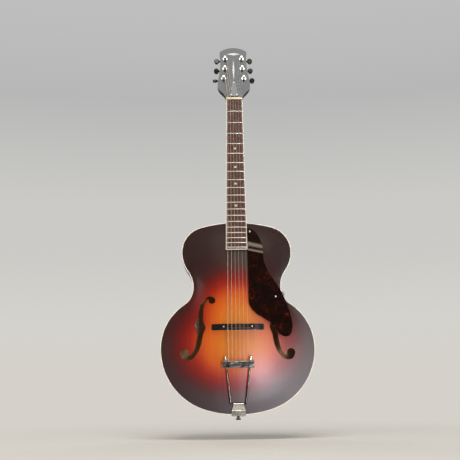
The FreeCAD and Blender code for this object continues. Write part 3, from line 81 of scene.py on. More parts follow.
def add(tree, kind, sockets=None, stops=(), **settings):
    """Adds a node, or takes one that is there, and gives it its settings, values, links and colour stops."""
    made = kind if isinstance(kind, bpy.types.Node) else tree.nodes.new("ShaderNode" + kind)
    for name, value in settings.items():
        setattr(made, name, value)
    for socket, value in (sockets or {}).items():
        if isinstance(value, bpy.types.NodeSocket):
            tree.links.new(value, made.inputs[socket])
        else:
            made.inputs[socket].default_value = value
    for number, (place, colour) in enumerate(stops):
        ramp = made.color_ramp.elements
        stop = ramp[number] if number < 2 else ramp.new(place)
        stop.position = place
        stop.color = linear(colour)
    return made


def new_finish(name, sockets):
    """A material whose constant values sit on its shader's own sockets."""
    material = bpy.data.materials.new(name)
    material.use_nodes = True
    tree = material.node_tree
    shader = add(tree, tree.nodes["Principled BSDF"], sockets)
    place = add(tree, "TexCoord").outputs["Object"]
    return material, tree, shader, place


print("helpers ready, amber in linear light:", [round(c, 3) for c in linear("#D8771F")])

# %% [markdown]
# Sunburst spruce
#
# The top is carved spruce. Amber lacquer goes on first, then red and brown are sprayed from the edge
# inwards, so the colour is an oval that darkens outwards, with a soft and slightly uneven border. Grain
# runs up the guitar. Only the front is sprayed: the walls of the f-holes and the inside are bare wood, and
# the face's own direction tells which is which. The border carries more coats than the middle, so it
# shines more.

# %% Sunburst spruce
lower_oval = {"z": 181 * MM, "half_width": 156 * MM, "half_height": 120 * MM}
waist_oval = {"z": 243 * MM, "half_width": 117 * MM, "half_height": 130 * MM}
oval_blend = 0.12
ramp_reach = 2.0             # a colour ramp ends at 1, and this many ovals fit in it
spray_unevenness = 0.05
sprayed_until, bare_from = -0.55, -0.35     # a face's direction along Y: -1 looks straight to the front
grain_width = 2.6 * MM       # spruce lines are about 1 mm apart; drawn wider so that they show
grain_length = 150 * MM
spray_patch = 60 * MM
grain_relief = 0.2 * MM
middle_shine, border_shine = 0.5, 0.80
shine_start, shine_end = 0.45, 0.60         # where on the ramp the shine grows


def oval_reach(tree, place, oval):
    """How far out a point lies from an oval's middle: 1 on the oval itself."""
    scaled = add(tree, "Mapping", {"Vector": place, "Location": (0, 0, -oval["z"] / oval["half_height"]),
                                   "Scale": (1 / oval["half_width"], 0, 1 / oval["half_height"])})
    return add(tree, "VectorMath", {0: scaled.outputs[0]}, operation="LENGTH").outputs["Value"]


def sunburst_reach(tree, place):
    """The sprayed border follows the body: a wide oval in the lower bout, a slim one at the waist."""
    wide = oval_reach(tree, place, lower_oval)
    slim = oval_reach(tree, place, waist_oval)
    return add(tree, "Math", {0: wide, 1: slim, 2: oval_blend}, operation="SMOOTH_MIN").outputs[0]


def sunburst_spruce():
    # Satin nitrocellulose over spruce: deep clear colour with a broad, soft highlight.
    material, tree, shader, place = new_finish("satin_sunburst_spruce", {"IOR": 1.5})
    reach = sunburst_reach(tree, place)
    cloud = add(tree, "TexNoise", {"Vector": place, "Scale": 1 / spray_patch, "Detail": 3.0})
    uneven = add(tree, "MapRange", {"Value": cloud.outputs["Fac"], "To Min": -spray_unevenness,
                                    "To Max": spray_unevenness})
    sprayed = add(tree, "Math", {0: reach, 1: uneven.outputs[0]}, operation="ADD")
    along_ramp = add(tree, "Math", {0: sprayed.outputs[0], 1: 1 / ramp_reach}, operation="MULTIPLY")
    burst = add(tree, "ValToRGB", {"Fac": along_ramp.outputs[0]},
                stops=[(0.10, "#DB7B0C"), (0.80, "#2A1311"), (0.19, "#D86C06"), (0.28, "#CE5604"),
                       (0.34, "#B83B05"), (0.40, "#991F07"), (0.48, "#721208"), (0.55, "#4C110B"),
                       (0.62, "#36110E")])
    lines = add(tree, "Mapping", {"Vector": place,
                                  "Scale": (1 / grain_width, 1 / spray_patch, 1 / grain_length)})
    grain = add(tree, "TexNoise", {"Vector": lines.outputs[0], "Scale": 1.0, "Detail": 4.0,
                                   "Roughness": 0.6})
    shade = add(tree, "ValToRGB", {"Fac": grain.outputs["Fac"]},
                stops=[(0.30, "#D2C6BC"), (0.62, "#FFFFFF")])
    stained = add(tree, "Mix", {0: 0.5, 6: burst.outputs[0], 7: shade.outputs[0]},
                  data_type="RGBA", blend_type="MULTIPLY")
    bare = add(tree, "ValToRGB", {"Fac": grain.outputs["Fac"]},
               stops=[(0.30, "#B58A58"), (0.70, "#D9B27C")])
    facing = add(tree, "SeparateXYZ", {0: add(tree, "NewGeometry").outputs["Normal"]})
    front = add(tree, "MapRange", {"Value": facing.outputs["Y"], "From Min": sprayed_until,
                                   "From Max": bare_from, "To Min": 1.0, "To Max": 0.0})
    colour = add(tree, "Mix", {0: front.outputs[0], 6: bare.outputs[0], 7: stained.outputs[2]},
                 data_type="RGBA")
    gloss = add(tree, "MapRange", {"Value": cloud.outputs["Fac"], "To Min": 0.25, "To Max": 0.33})
    shine = add(tree, "MapRange", {"Value": along_ramp.outputs[0], "From Min": shine_start,
                                   "From Max": shine_end, "To Min": middle_shine, "To Max": border_shine})
    relief = add(tree, "Bump", {"Height": grain.outputs["Fac"], "Strength": 0.05, "Distance": grain_relief})
    add(tree, shader, {"Base Color": colour.outputs[2], "Roughness": gloss.outputs[0],
                       "Specular IOR Level": shine.outputs[0], "Normal": relief.outputs[0]})
    return material


finishes = {"sunburst_spruce": sunburst_spruce()}
print("finish:", finishes["sunburst_spruce"].name)

# %% [markdown]
# Dark maple
#
# Back, ribs and neck are maple, stained dark and sprayed like the top. Maple shows faint cross stripes
# where its fibres wave. The neck is rubbed duller, by the maker and by hands. Inside, the plates and ribs
# are bare, and inside is told from outside by asking whether a face looks away from the middle of the body.

# %% Dark maple
flame_width = 9 * MM
fibre_share = 0.35           # how much of the pattern is fibre, the rest being stripes
stripe_strength = 0.8
body_middle = Vector((0, 0, 264 * MM))


def dark_maple(name, middle_colour, edge_colour, has_inside, shine, rough_low, rough_high):
    # Lacquered maple: brown with faint stripes that run across the grain, under a satin coat.
    material, tree, shader, place = new_finish(name, {"IOR": 1.5, "Specular IOR Level": shine})
    cloud = add(tree, "TexNoise", {"Vector": place, "Scale": 1 / spray_patch, "Detail": 2.0})
    stripes = add(tree, "TexWave", {"Vector": place, "Scale": 1 / (flame_width * 2 * math.pi),
                                    "Distortion": 5.0, "Detail": 2.0, "Detail Scale": 1.5},
                  bands_direction="Z")
    lines = add(tree, "Mapping", {"Vector": place,
                                  "Scale": (1 / grain_width, 1 / grain_width, 1 / grain_length)})
    grain = add(tree, "TexNoise", {"Vector": lines.outputs[0], "Scale": 1.0, "Detail": 3.0})
    burst = add(tree, "ValToRGB", {"Fac": sunburst_reach(tree, place)},
                stops=[(0.30, middle_colour), (1.0, edge_colour)])
    shade = add(tree, "Mix", {0: fibre_share, 6: stripes.outputs["Color"], 7: grain.outputs["Color"]},
                data_type="RGBA")
    tone = add(tree, "ValToRGB", {"Fac": shade.outputs[2]}, stops=[(0.2, "#B9AFA9"), (0.8, "#FFFFFF")])
    stained = add(tree, "Mix", {0: stripe_strength, 6: burst.outputs[0], 7: tone.outputs[0]},
                  data_type="RGBA", blend_type="MULTIPLY")
    colour = stained.outputs[2]
    if has_inside:
        outward = add(tree, "VectorMath", {0: place, 1: body_middle}, operation="SUBTRACT")
        normal = add(tree, "NewGeometry").outputs["Normal"]
        facing = add(tree, "VectorMath", {0: outward.outputs[0], 1: normal}, operation="DOT_PRODUCT")
        outside = add(tree, "Math", {0: facing.outputs["Value"], 1: 0.0}, operation="GREATER_THAN")
        bare = add(tree, "ValToRGB", {"Fac": grain.outputs["Fac"]},
                   stops=[(0.3, "#B98650"), (0.7, "#DCAE74")])
        colour = add(tree, "Mix", {0: outside.outputs[0], 6: bare.outputs[0], 7: colour},
                     data_type="RGBA").outputs[2]
    gloss = add(tree, "MapRange", {"Value": cloud.outputs["Fac"], "To Min": rough_low,
                                   "To Max": rough_high})
    add(tree, shader, {"Base Color": colour, "Roughness": gloss.outputs[0]})
    return material


finishes["dark_maple"] = dark_maple("satin_dark_maple", "#93401A", "#2C130E", True, 0.55, 0.26, 0.40)
finishes["neck_maple"] = dark_maple("rubbed_neck_maple", "#4A1E12", "#240F0B", False, 0.05, 0.50, 0.62)
print("finishes:", len(finishes))

# %% [markdown]
# Bare wood, rosewood and ebony
#
# These three are the same idea at different darkness: long streaks along the grain, with short dark pores
# in the open-grained rosewood. One function takes the two colours and the gloss that handling has left.

# %% Plain woods
streak_width = 1.8 * MM
pore_width, pore_length = 1 * MM, 9 * MM
streak_relief = 0.15 * MM
polish_gain, pore_loss = 0.08, 0.12


def plain_wood(name, dark, pale, roughness, pores, along_x):
    # Oiled or bare wood: a low gloss that pores and streaks break up.
    material, tree, shader, place = new_finish(name, {"IOR": 1.5})
    scale = (1 / streak_width, 1 / streak_width, 1 / grain_length)
    scale = (scale[2], scale[1], scale[0]) if along_x else scale
    lines = add(tree, "Mapping", {"Vector": place, "Scale": scale})
    grain = add(tree, "TexNoise", {"Vector": lines.outputs[0], "Scale": 1.0, "Detail": 5.0,
                                   "Roughness": 0.65})
    streaks = add(tree, "ValToRGB", {"Fac": grain.outputs["Fac"]}, stops=[(0.32, dark), (0.68, pale)])
    fine = add(tree, "Mapping", {"Vector": place, "Scale": (1 / pore_width, 1 / pore_width, 1 / pore_length)})
    specks = add(tree, "TexNoise", {"Vector": fine.outputs[0], "Scale": 1.0, "Detail": 1.0})
    holes = add(tree, "ValToRGB", {"Fac": specks.outputs["Fac"]},
                stops=[(0.34, "#6A5A52"), (0.44, "#FFFFFF")])
    colour = add(tree, "Mix", {0: pores, 6: streaks.outputs[0], 7: holes.outputs[0]},
                 data_type="RGBA", blend_type="MULTIPLY")
    gloss = add(tree, "MapRange", {"Value": grain.outputs["Fac"], "To Min": roughness - polish_gain,
                                   "To Max": roughness + pore_loss})
    relief = add(tree, "Bump", {"Height": grain.outputs["Fac"], "Strength": 0.15, "Distance": streak_relief})
    add(tree, shader, {"Base Color": colour.outputs[2], "Roughness": gloss.outputs[0],
                       "Normal": relief.outputs[0]})
    return material


finishes["bare_spruce"] = plain_wood("bare_spruce", "#B08A58", "#D2AF7C", 0.6, 0.1, False)
finishes["rosewood"] = plain_wood("oiled_rosewood", "#33190F", "#6C4233", 0.40, 0.8, False)
finishes["ebony"] = plain_wood("polished_ebony", "#0C0C0D", "#1C1B1B", 0.24, 0.3, True)
print("finishes:", len(finishes))

# %% [markdown]
# Black lacquer and moulded plastics
#
# The headstock face is a black veneer under gloss lacquer, the tuner buttons and the rod cover are moulded
# black plastic, and the end pin is a red-brown one. All are smooth, so what the eye reads is the sharpness
# of the highlight and a little dust and handling in it.

# %% Lacquer and plastics
handling_patch = 14 * MM


def smooth_gloss(name, dark, pale, rough_low, rough_high, sockets):
    # A hard smooth surface: nearly one colour, with fingerprints that dull the shine in patches.
    material, tree, shader, place = new_finish(name, {"IOR": 1.5, **sockets})
    patches = add(tree, "TexNoise", {"Vector": place, "Scale": 1 / handling_patch, "Detail": 4.0})
    tint = add(tree, "ValToRGB", {"Fac": patches.outputs["Fac"]}, stops=[(0.3, dark), (0.7, pale)])
    gloss = add(tree, "MapRange", {"Value": patches.outputs["Fac"], "To Min": rough_low,
                                   "To Max": rough_high})
    add(tree, shader, {"Base Color": tint.outputs[0], "Roughness": gloss.outputs[0]})
    return material


finishes["black_veneer"] = smooth_gloss("black_gloss_lacquer", "#0D0D0E", "#151517", 0.24, 0.36,
                                        {"Coat Weight": 0.13, "Coat Roughness": 0.22})
finishes["rod_cover_plastic"] = smooth_gloss("buffed_black_plastic", "#121214", "#1A1A1D", 0.20, 0.30,
                                             {"Coat Weight": 0.55, "Coat Roughness": 0.18})
finishes["black_plastic"] = smooth_gloss("moulded_black_plastic", "#08080A", "#101012", 0.10, 0.20, {})
finishes["red_brown_plastic"] = smooth_gloss("moulded_red_brown_plastic", "#3A160E", "#59261A",
                                             0.18, 0.30, {})
finishes["cream_binding"] = smooth_gloss("cream_celluloid_binding", "#EAE2CE", "#F6F1E3", 0.28, 0.42, {})
finishes["bone"] = smooth_gloss("polished_bone", "#E4D3A0", "#F0E5C0", 0.30, 0.42, {})
print("finishes:", len(finishes))

# %% [markdown]
# Label paper
#
# The label's paper has yellowed. Ruled lines a few millimetres apart are printed on it in grey.

# %% Label paper
ruled_gap = 4.2 * MM
wave_rate = 10               # a wave texture of scale 1 repeats after pi / 10


def label_paper():
    # Aged paper: matt cream with thin grey lines.
    material, tree, shader, place = new_finish("aged_label_paper", {"Roughness": 0.85})
    rules = add(tree, "TexWave", {"Vector": place, "Scale": math.pi / (wave_rate * ruled_gap)},
                bands_direction="Z")
    inked = add(tree, "ValToRGB", {"Fac": rules.outputs["Fac"]},
                stops=[(0.10, "#8A857A"), (0.22, "#F6F2E6")])
    add(tree, shader, {"Base Color": inked.outputs[0]})
    return material


finishes["paper"] = label_paper()
print("finish:", finishes["paper"].name)

# %% [markdown]
# Pearl
#
# Mother of pearl is cut in thin flat pieces. Each shows soft bands of pink, green and blue-grey where the
# shell's layers come to the surface.

# %% Pearl
pearl_band = 5 * MM


def mother_of_pearl():
    # Polished shell: white with faint coloured bands and a sharp gloss.
    material, tree, shader, place = new_finish("mother_of_pearl", {"IOR": 1.53, "Roughness": 0.16})
    bands = add(tree, "TexNoise", {"Vector": place, "Scale": 1 / pearl_band, "Detail": 2.0,
                                   "Distortion": 1.5})
    tint = add(tree, "ValToRGB", {"Fac": bands.outputs["Fac"]},
               stops=[(0.25, "#B2B7BA"), (0.75, "#C6C5C0"), (0.42, "#C8BEBA"), (0.58, "#B7BFB8")])
    add(tree, shader, {"Base Color": tint.outputs[0]})
    return material


finishes["pearl"] = mother_of_pearl()
print("finish:", finishes["pearl"].name)

# %% [markdown]
# Metals
#
# Nickel plate is a warm grey mirror that clouds where hands touch it, and brass is yellower. The wound
# strings are bronze wire wrapped on steel, so they carry a fine ring pattern, and the two plain strings are
# bright steel. The crossbar is pressed sheet, which keeps slow waves from its die. The thumbwheels and the
# trapeze wire are coloured near black, a painted dark reflection, and only the wire's caps above the crossbar
# keep plain nickel's paler colour. One function makes them all from a pair of colours and a range of
# roughness.

# %% Metals
tarnish_patch = 11 * MM
wave_width, wave_depth = 16 * MM, 1.2 * MM
cap_colour = "#C2BEB4"
ring_width = 1.1 * MM        # the wrap wire is about 0.3 mm thick; drawn coarser so that it shows
wrap_depth = 0.1 * MM


def metal(name, dull, bright, rough_low, rough_high, wrapped=False, waved=False, bright_from=None):
    # Plated or drawn metal: the colour is in the reflection, and clouding widens it in patches.
    material, tree, shader, place = new_finish(name, {"Metallic": 1.0})
    cloud = add(tree, "TexNoise", {"Vector": place, "Scale": 1 / tarnish_patch, "Detail": 5.0,
                                   "Roughness": 0.6})
    tint = add(tree, "ValToRGB", {"Fac": cloud.outputs["Fac"]}, stops=[(0.3, dull), (0.6, bright)])
    gloss = add(tree, "MapRange", {"Value": cloud.outputs["Fac"], "To Min": rough_high,
                                   "To Max": rough_low})
    add(tree, shader, {"Base Color": tint.outputs[0], "Roughness": gloss.outputs[0]})
    # Below this height the metal keeps its painted near-black tint, a painted dark reflection; above it the
    # caps take plain nickel's colour.
    if bright_from is not None:
        height = add(tree, "SeparateXYZ", {0: place})
        above = add(tree, "Math", {0: height.outputs["Z"], 1: bright_from}, operation="GREATER_THAN")
        capped = add(tree, "Mix", {0: above.outputs[0], 6: tint.outputs[0], 7: linear(cap_colour)},
                     data_type="RGBA")
        add(tree, shader, {"Base Color": capped.outputs[2]})
    if wrapped:
        rings = add(tree, "TexWave", {"Vector": place, "Scale": 1 / (ring_width * 2 * math.pi)},
                    bands_direction="Z")
        relief = add(tree, "Bump", {"Height": rings.outputs["Fac"], "Strength": 0.12, "Distance": wrap_depth})
        add(tree, shader, {"Normal": relief.outputs[0]})
    if waved:
        swells = add(tree, "TexNoise", {"Vector": place, "Scale": 1 / wave_width, "Detail": 1.0})
        relief = add(tree, "Bump", {"Height": swells.outputs["Fac"], "Strength": 1.0, "Distance": wave_depth})
        add(tree, shader, {"Normal": relief.outputs[0]})
    return material


finishes["nickel"] = metal("worn_nickel_plate", "#BDB7AB", "#DAD6CD", 0.07, 0.18)
finishes["bright_nickel"] = metal("bright_nickel_screws", "#E6E3DC", "#F4F2EE", 0.28, 0.42)
finishes["tarnished_nickel"] = metal("tarnished_nickel_plate", "#524F4A", "#A8A49C", 0.08, 0.18,
                                     waved=True)
# Nickel coloured near black: a painted dark reflection, for the thumbwheels and the trapeze wire.
finishes["dark_nickel"] = metal("nickel_with_painted_dark_reflection", "#2B2926", "#5A5650", 0.16, 0.30)
finishes["satin_nickel"] = metal("satin_worn_nickel", "#A39D91", "#B8B2A6", 0.17, 0.23)
# The trapeze wire: the same painted dark reflection, with the caps above the crossbar left in plain nickel
# colour.
finishes["capped_nickel"] = metal("dark_nickel_with_bright_caps", "#2B2926", "#5A5650", 0.16, 0.30,
                                  bright_from=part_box("tailpiece_crossbar")[1][2])
finishes["fret_nickel"] = metal("fret_nickel_silver", "#B5B0A4", "#DAD6CB", 0.36, 0.50)
finishes["brass"] = metal("aged_brass", "#8E6C34", "#C39A52", 0.22, 0.42)
finishes["steel"] = metal("plain_steel", "#8F9092", "#B9BABB", 0.25, 0.45)
finishes["wound_bronze"] = metal("wound_string_bronze", "#B2A391", "#CDC1B0", 0.55, 0.70, wrapped=True)
finishes["plain_string"] = metal("plain_string_steel", "#B9B6B0", "#D4D2CE", 0.5, 0.65)
print("finishes:", len(finishes))

# %% [markdown]
# Tortoise celluloid
#
# The pickguard imitates tortoiseshell: dark brown sheet with red and amber clouds stirred into it, polished
# to a hard gloss. Two noises do it, a large one for the clouds and a small, more twisted one for the flecks.

# %% Tortoise celluloid
cloud_size = 22 * MM
fleck_size = 4.5 * MM


def tortoise_celluloid():
    # Polished celluloid: near black, red where a cloud is thin, with a mirror-like surface.
    material, tree, shader, place = new_finish("tortoise_celluloid", {"IOR": 1.5, "Roughness": 0.07})
    clouds = add(tree, "TexNoise", {"Vector": place, "Scale": 1 / cloud_size, "Detail": 3.0,
                                    "Distortion": 0.8})
    flecks = add(tree, "TexNoise", {"Vector": place, "Scale": 1 / fleck_size, "Detail": 3.0,
                                    "Distortion": 1.6})
    both = add(tree, "Math", {0: clouds.outputs["Fac"], 1: flecks.outputs["Fac"]}, operation="MULTIPLY")
    tint = add(tree, "ValToRGB", {"Fac": both.outputs[0]},
               stops=[(0.21, "#150A08"), (0.49, "#7A260E"), (0.31, "#1E0D09"), (0.39, "#3A120B")])
    add(tree, shader, {"Base Color": tint.outputs[0]})
    return material


finishes["tortoise"] = tortoise_celluloid()
print("finish:", finishes["tortoise"].name)

# %% [markdown]
# Dressing the frame
#
# Each piece of the frame takes its finish by the slot that the record gives it, so the list of materials is
# written once, there. A few pieces that share a slot but differ to the eye are named apart.

# %% Dressing the frame
# The thumbwheels and the trapeze wire take nickel coloured near black, a painted dark reflection.
own_finish = {"neck": "neck_maple", "truss_rod_cover": "rod_cover_plastic", "frets": "fret_nickel",
              "plain_strings": "plain_string", "bridge_posts": "bright_nickel",
              "thumbwheel_bass": "dark_nickel", "thumbwheel_treble": "dark_nickel",
              "pickguard_screws": "bright_nickel", "pickguard_supports": "steel",
              "tailpiece_crossbar": "tarnished_nickel", "tailpiece_wire": "capped_nickel",
              "tailpiece_bracket": "satin_nickel"}


def dress(piece, finish):
    piece.data.materials.clear()
    piece.data.materials.append(finishes[finish])


slot_of = {entry["node"]: entry["material_slot"] for entry in frame["record"]["subparts"]}
for node, piece in frame["nodes"].items():
    dress(piece, own_finish.get(node, slot_of[node]))
print("dressed:", len(slot_of), "pieces of the frame")

# %% [markdown]
# Eased corners
#
# A solid straight from the drawing has knife edges. On the real guitar the bridge is sanded, the binding is
# scraped, the guard is buffed and the plated parts are polished before plating, so each corner catches a
# thin line of light. The corner is found by the angle between two faces and rounded with a bevel. The
# bridge's base is also filed round at its two ends.

# %% Eased corners
corner_angle = math.radians(40)
smooth_angle = math.radians(50)
flat_angle = math.radians(0.5)
weld_distance = 0.002 * MM
bevel_ways = {"offset_type": "OFFSET", "affect": "EDGES", "profile": 0.5, "material": -1,
              "clamp_overlap": True}
bridge_end_radius, bridge_end_start = 3.5 * MM, 65 * MM
upright_share = 0.99


def bench_copy(node):
    """A welded copy of a frame piece's mesh, with flat areas made whole."""
    form = bmesh.new()
    form.from_mesh(frame["nodes"][node].data)
    bmesh.ops.remove_doubles(form, verts=form.verts, dist=weld_distance)
    bmesh.ops.dissolve_limit(form, angle_limit=flat_angle, verts=form.verts, edges=form.edges)
    return form


def ease(form, width):
    corners = [edge for edge in form.edges if edge.is_manifold and edge.calc_face_angle(0) > corner_angle]
    bmesh.ops.bevel(form, geom=corners, offset=width, segments=3, **bevel_ways)


def round_ends(form):
    """Rounds the corners that stand up from the top at the two ends of the bridge's base."""
    standing = [edge for edge in form.edges if min(abs(v.co.x) for v in edge.verts) > bridge_end_start
                and abs((edge.verts[1].co - edge.verts[0].co).normalized().y) > upright_share]
    bmesh.ops.bevel(form, geom=standing, offset=bridge_end_radius, segments=5, **bevel_ways)


def shown_piece(mesh, name, finish):
    """Shows a mesh at the origin, smooth but for its sharp corners, with a finish."""
    mesh.shade_smooth()
    mesh.set_sharp_from_angle(angle=smooth_angle)
    piece = bpy.data.objects.new(name, mesh)
    scene.collection.objects.link(piece)
    dress(piece, finish)
    return piece


def piece_from(form, name, finish):
    """Turns a bmesh into a piece whose flat faces stay flat beside its rounded corners."""
    mesh = bpy.data.meshes.new(name)
    form.to_mesh(mesh)
    form.free()
    piece = shown_piece(mesh, name, finish)
    piece.modifiers.new("flat_faces_stay_flat", "WEIGHTED_NORMAL").keep_sharp = True
    return piece


def stands_for(piece, node, body):
    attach(piece, body)
    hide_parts(node)


eased_pieces = [("sanded_bridge_base", "bridge_base", "body", 1.5 * MM),
                ("domed_bridge_posts", "bridge_posts", "body", 1.2 * MM),
                ("sanded_bridge_saddle", "bridge_saddle", "saddle", 0.5 * MM),
                ("filed_nut", "nut", "body", 0.3 * MM),
                ("buffed_rod_cover", "truss_rod_cover", "body", 0.5 * MM),
                ("polished_crossbar", "tailpiece_crossbar", "tailpiece", 0.25 * MM),
                ("polished_bracket", "tailpiece_bracket", "body", 0.3 * MM),
                ("scraped_top_binding", "top_binding", "body", 0.7 * MM),
                ("scraped_back_binding", "back_binding", "body", 0.7 * MM)]
for name, node, body, width in eased_pieces:
    form = bench_copy(node)
    if node == "bridge_base":
        round_ends(form)
    ease(form, width)
    piece = piece_from(form, name, own_finish.get(node, slot_of[node]))
    stands_for(piece, node, body)
    print("eased:", name, len(piece.data.polygons), "faces")

# %% [markdown]
# Pickguard
#
# Old celluloid shrinks and warps. This guard has risen in a shallow ridge across its upper half, just below
# the end of the fingerboard, and the ridge mirrors the light in two pale bands. The buffed sheet is sliced
# across so that it can bend, then each slice is lifted by a bell curve.

# %% Pickguard
ridge_middle = Vector((47, 0, 422)) * MM
ridge_slant = 0.22
ridge_height, ridge_spread = 1.65 * MM, 16.5 * MM
slice_step, slices_each_way = 2.5 * MM, 18
guard_edge = 0.8 * MM
sheet = bench_copy("pickguard")
ease(sheet, guard_edge)
across_ridge = Vector((ridge_slant, 0, 1))
for step in range(-slices_each_way, slices_each_way + 1):
    bmesh.ops.bisect_plane(sheet, geom=sheet.verts[:] + sheet.edges[:] + sheet.faces[:],
                           plane_co=ridge_middle + Vector((0, 0, step * slice_step)), plane_no=across_ridge)
for corner in sheet.verts:
    away = (corner.co - ridge_middle).dot(across_ridge) / ridge_spread
    corner.co.y -= ridge_height * math.exp(-away ** 2)
guard = piece_from(sheet, "buffed_pickguard", "tortoise")
stands_for(guard, "pickguard", "body")
print("pickguard:", len(guard.data.polygons), "faces")

# %% [markdown]
# Label
#
# A paper label is glued to the inside of the back, where it shows through the bass f-hole, with ruled
# lines for a maker to write on. A flat sheet is laid on the back by dropping each of its points onto the
# wood.


# %% Label
def standing_sheet(middle, width, height):
    """What stands a sheet of one metre up to face the front, at its own place and size."""
    return (Matrix.Translation(middle) @ Matrix.Rotation(math.pi / 2, 4, "X")
            @ Matrix.Diagonal((width, height, 1, 1)))


label_width, label_height = 68 * MM, 52 * MM
label_middle = Vector((-137, 0, 236)) * MM
paper_lift = 0.2 * MM
label_form = bmesh.new()
bmesh.ops.create_grid(label_form, x_segments=14, y_segments=8, size=0.5,
                      matrix=standing_sheet(label_middle, label_width, label_height))
for corner in label_form.verts:
    _, spot, _, _ = frame["nodes"]["back_plate"].ray_cast(corner.co, Vector((0, 1, 0)))
    corner.co.y = spot.y - paper_lift
label = piece_from(label_form, "paper_label", "paper")
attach(label, "body")
print("label at", tuple(round(c, 3) for c in label.data.vertices[0].co))

# %% [markdown]
# Strings
#
# Six strings run from their ball ends in the tailpiece, over saddle and nut, and wind round the tuner posts.
# They are tight, so each stretch is straight, and its ends are where the frame's notches are. A curve with a
# round bevel makes wire of any thickness. The saddle rises with its wheels, but the stretch over the neck is
# left in its rest shape; the short stretch behind the bridge swings with the tailpiece. The places are
# worked out in millimetres, as on the drawing, in frames that lean with the neck, the head and the tailpiece.

# %% String places
string_diameters = (1.35, 1.05, 0.80, 0.62, 0.45, 0.33)
string_count, wound_count = len(string_diameters), 4
nut_spread, saddle_spread, tail_spread = 36.5, 52.0, 50.0
scale_length = 635.0
body_fret = 14               # the fret where neck and body meet
neck_run = scale_length * (1 - 2 ** (-body_fret / 12))
board_radius = 305.0
saddle_lift_over_board = 6.0
fret_crown, nut_gap = 1.1, 0.5
nut_thickness = 5.0
post_rows_x, post_rows_z = (28.7, 24.7, 23.6), (67.9, 103.1, 138.4)
post_radius, turn_clearance, turn_gap = 3.0, 0.06, 0.5
turn_counts = (2, 2, 3, 3, 3, 3)
first_turn_height = 6.4
ball_level = 127.55
neck_joint, neck_angle = Vector((0, -55.25, 508)), 3.5
head_step, head_angle = 3.0, 14.0
hinge = Vector((0, -46.45, 11))
neck_frame = Matrix.Translation(neck_joint) @ Matrix.Rotation(math.radians(-neck_angle), 4, "X")
head_frame = (neck_frame @ Matrix.Translation((0, head_step, neck_run + nut_thickness))
              @ Matrix.Rotation(math.radians(-head_angle), 4, "X"))
saddle_middle = neck_frame @ Vector((0, -saddle_lift_over_board, neck_run - scale_length))
tail_lean = math.atan2(hinge.y - saddle_middle.y, saddle_middle.z - hinge.z)
tail_frame = Matrix.Translation(hinge) @ Matrix.Rotation(tail_lean, 4, "X")


def string_x(number, spread):
    return spread * (number / (string_count - 1) - 0.5)


def crown_drop(x):
    return board_radius - math.sqrt(board_radius ** 2 - x ** 2)


def saddle_point(number):
    x = string_x(number, saddle_spread)
    return neck_frame @ Vector((x, crown_drop(x) - saddle_lift_over_board, neck_run - scale_length))


def nut_point(number):
    x = string_x(number, nut_spread)
    rise = fret_crown + nut_gap + string_diameters[number] / 2
    return neck_frame @ Vector((x, crown_drop(x) - rise, neck_run + nut_thickness / 2))


def tail_point(number):
    return tail_frame @ Vector((string_x(number, tail_spread), 0, ball_level))


print("saddle middle in mm:", tuple(round(c, 2) for c in saddle_middle))

# %% [markdown]
# The turns round a post are a helix that starts where the string first touches the post, so the first turn
# leaves the straight stretch without a corner. Bass posts wind one way and treble posts the other.

# %% String turns
points_a_turn = 24


def post_turns(number):
    side, row = (-1, number) if number < string_count / 2 else (1, string_count - 1 - number)
    post_x, post_z = side * post_rows_x[row], post_rows_z[row]
    radius = post_radius + turn_clearance + string_diameters[number] / 2
    start = head_frame.inverted() @ nut_point(number)
    away = math.hypot(post_x - start.x, post_z - start.z)
    bearing = math.atan2(start.z - post_z, start.x - post_x) - side * math.acos(radius / away)
    pitch = string_diameters[number] + turn_gap
    turns = []
    for step in range(points_a_turn * turn_counts[number] + 1):
        turned = step / points_a_turn
        angle = bearing - side * 2 * math.pi * turned
        turns.append(head_frame @ Vector((post_x + radius * math.cos(angle),
                                          pitch * turned - first_turn_height,
                                          post_z + radius * math.sin(angle))))
    return turns


def straight(start, end, count):
    return [start.lerp(end, step / count) for step in range(count + 1)]


def wire_piece(name, routes, finish):
    """One mesh of round wires: routes are (points in millimetres, diameter in millimetres)."""
    curve = bpy.data.curves.new(name, "CURVE")
    curve.dimensions = "3D"
    curve.bevel_depth = MM / 2
    curve.bevel_resolution = 3
    curve.use_fill_caps = True
    for points, diameter in routes:
        spline = curve.splines.new("POLY")
        spline.points.add(len(points) - 1)
        for knot, point in zip(spline.points, points):
            knot.co = (*(point * MM), 1)
            knot.radius = diameter
    line = bpy.data.objects.new(name + "_line", curve)
    mesh = bpy.data.meshes.new_from_object(line)
    bpy.data.objects.remove(line)
    mesh.name = name
    return shown_piece(mesh, name, finish)


print("turns of the lowest string:", len(post_turns(0)), "points")

# %% [markdown]
# Wound and plain strings differ in metal, so each kind is made by itself, in three stretches: round the
# posts, over the neck, and behind the bridge. The stretches round the posts and behind the bridge ride on
# what holds them; the long one between the nut and the saddle stays in its rest shape.

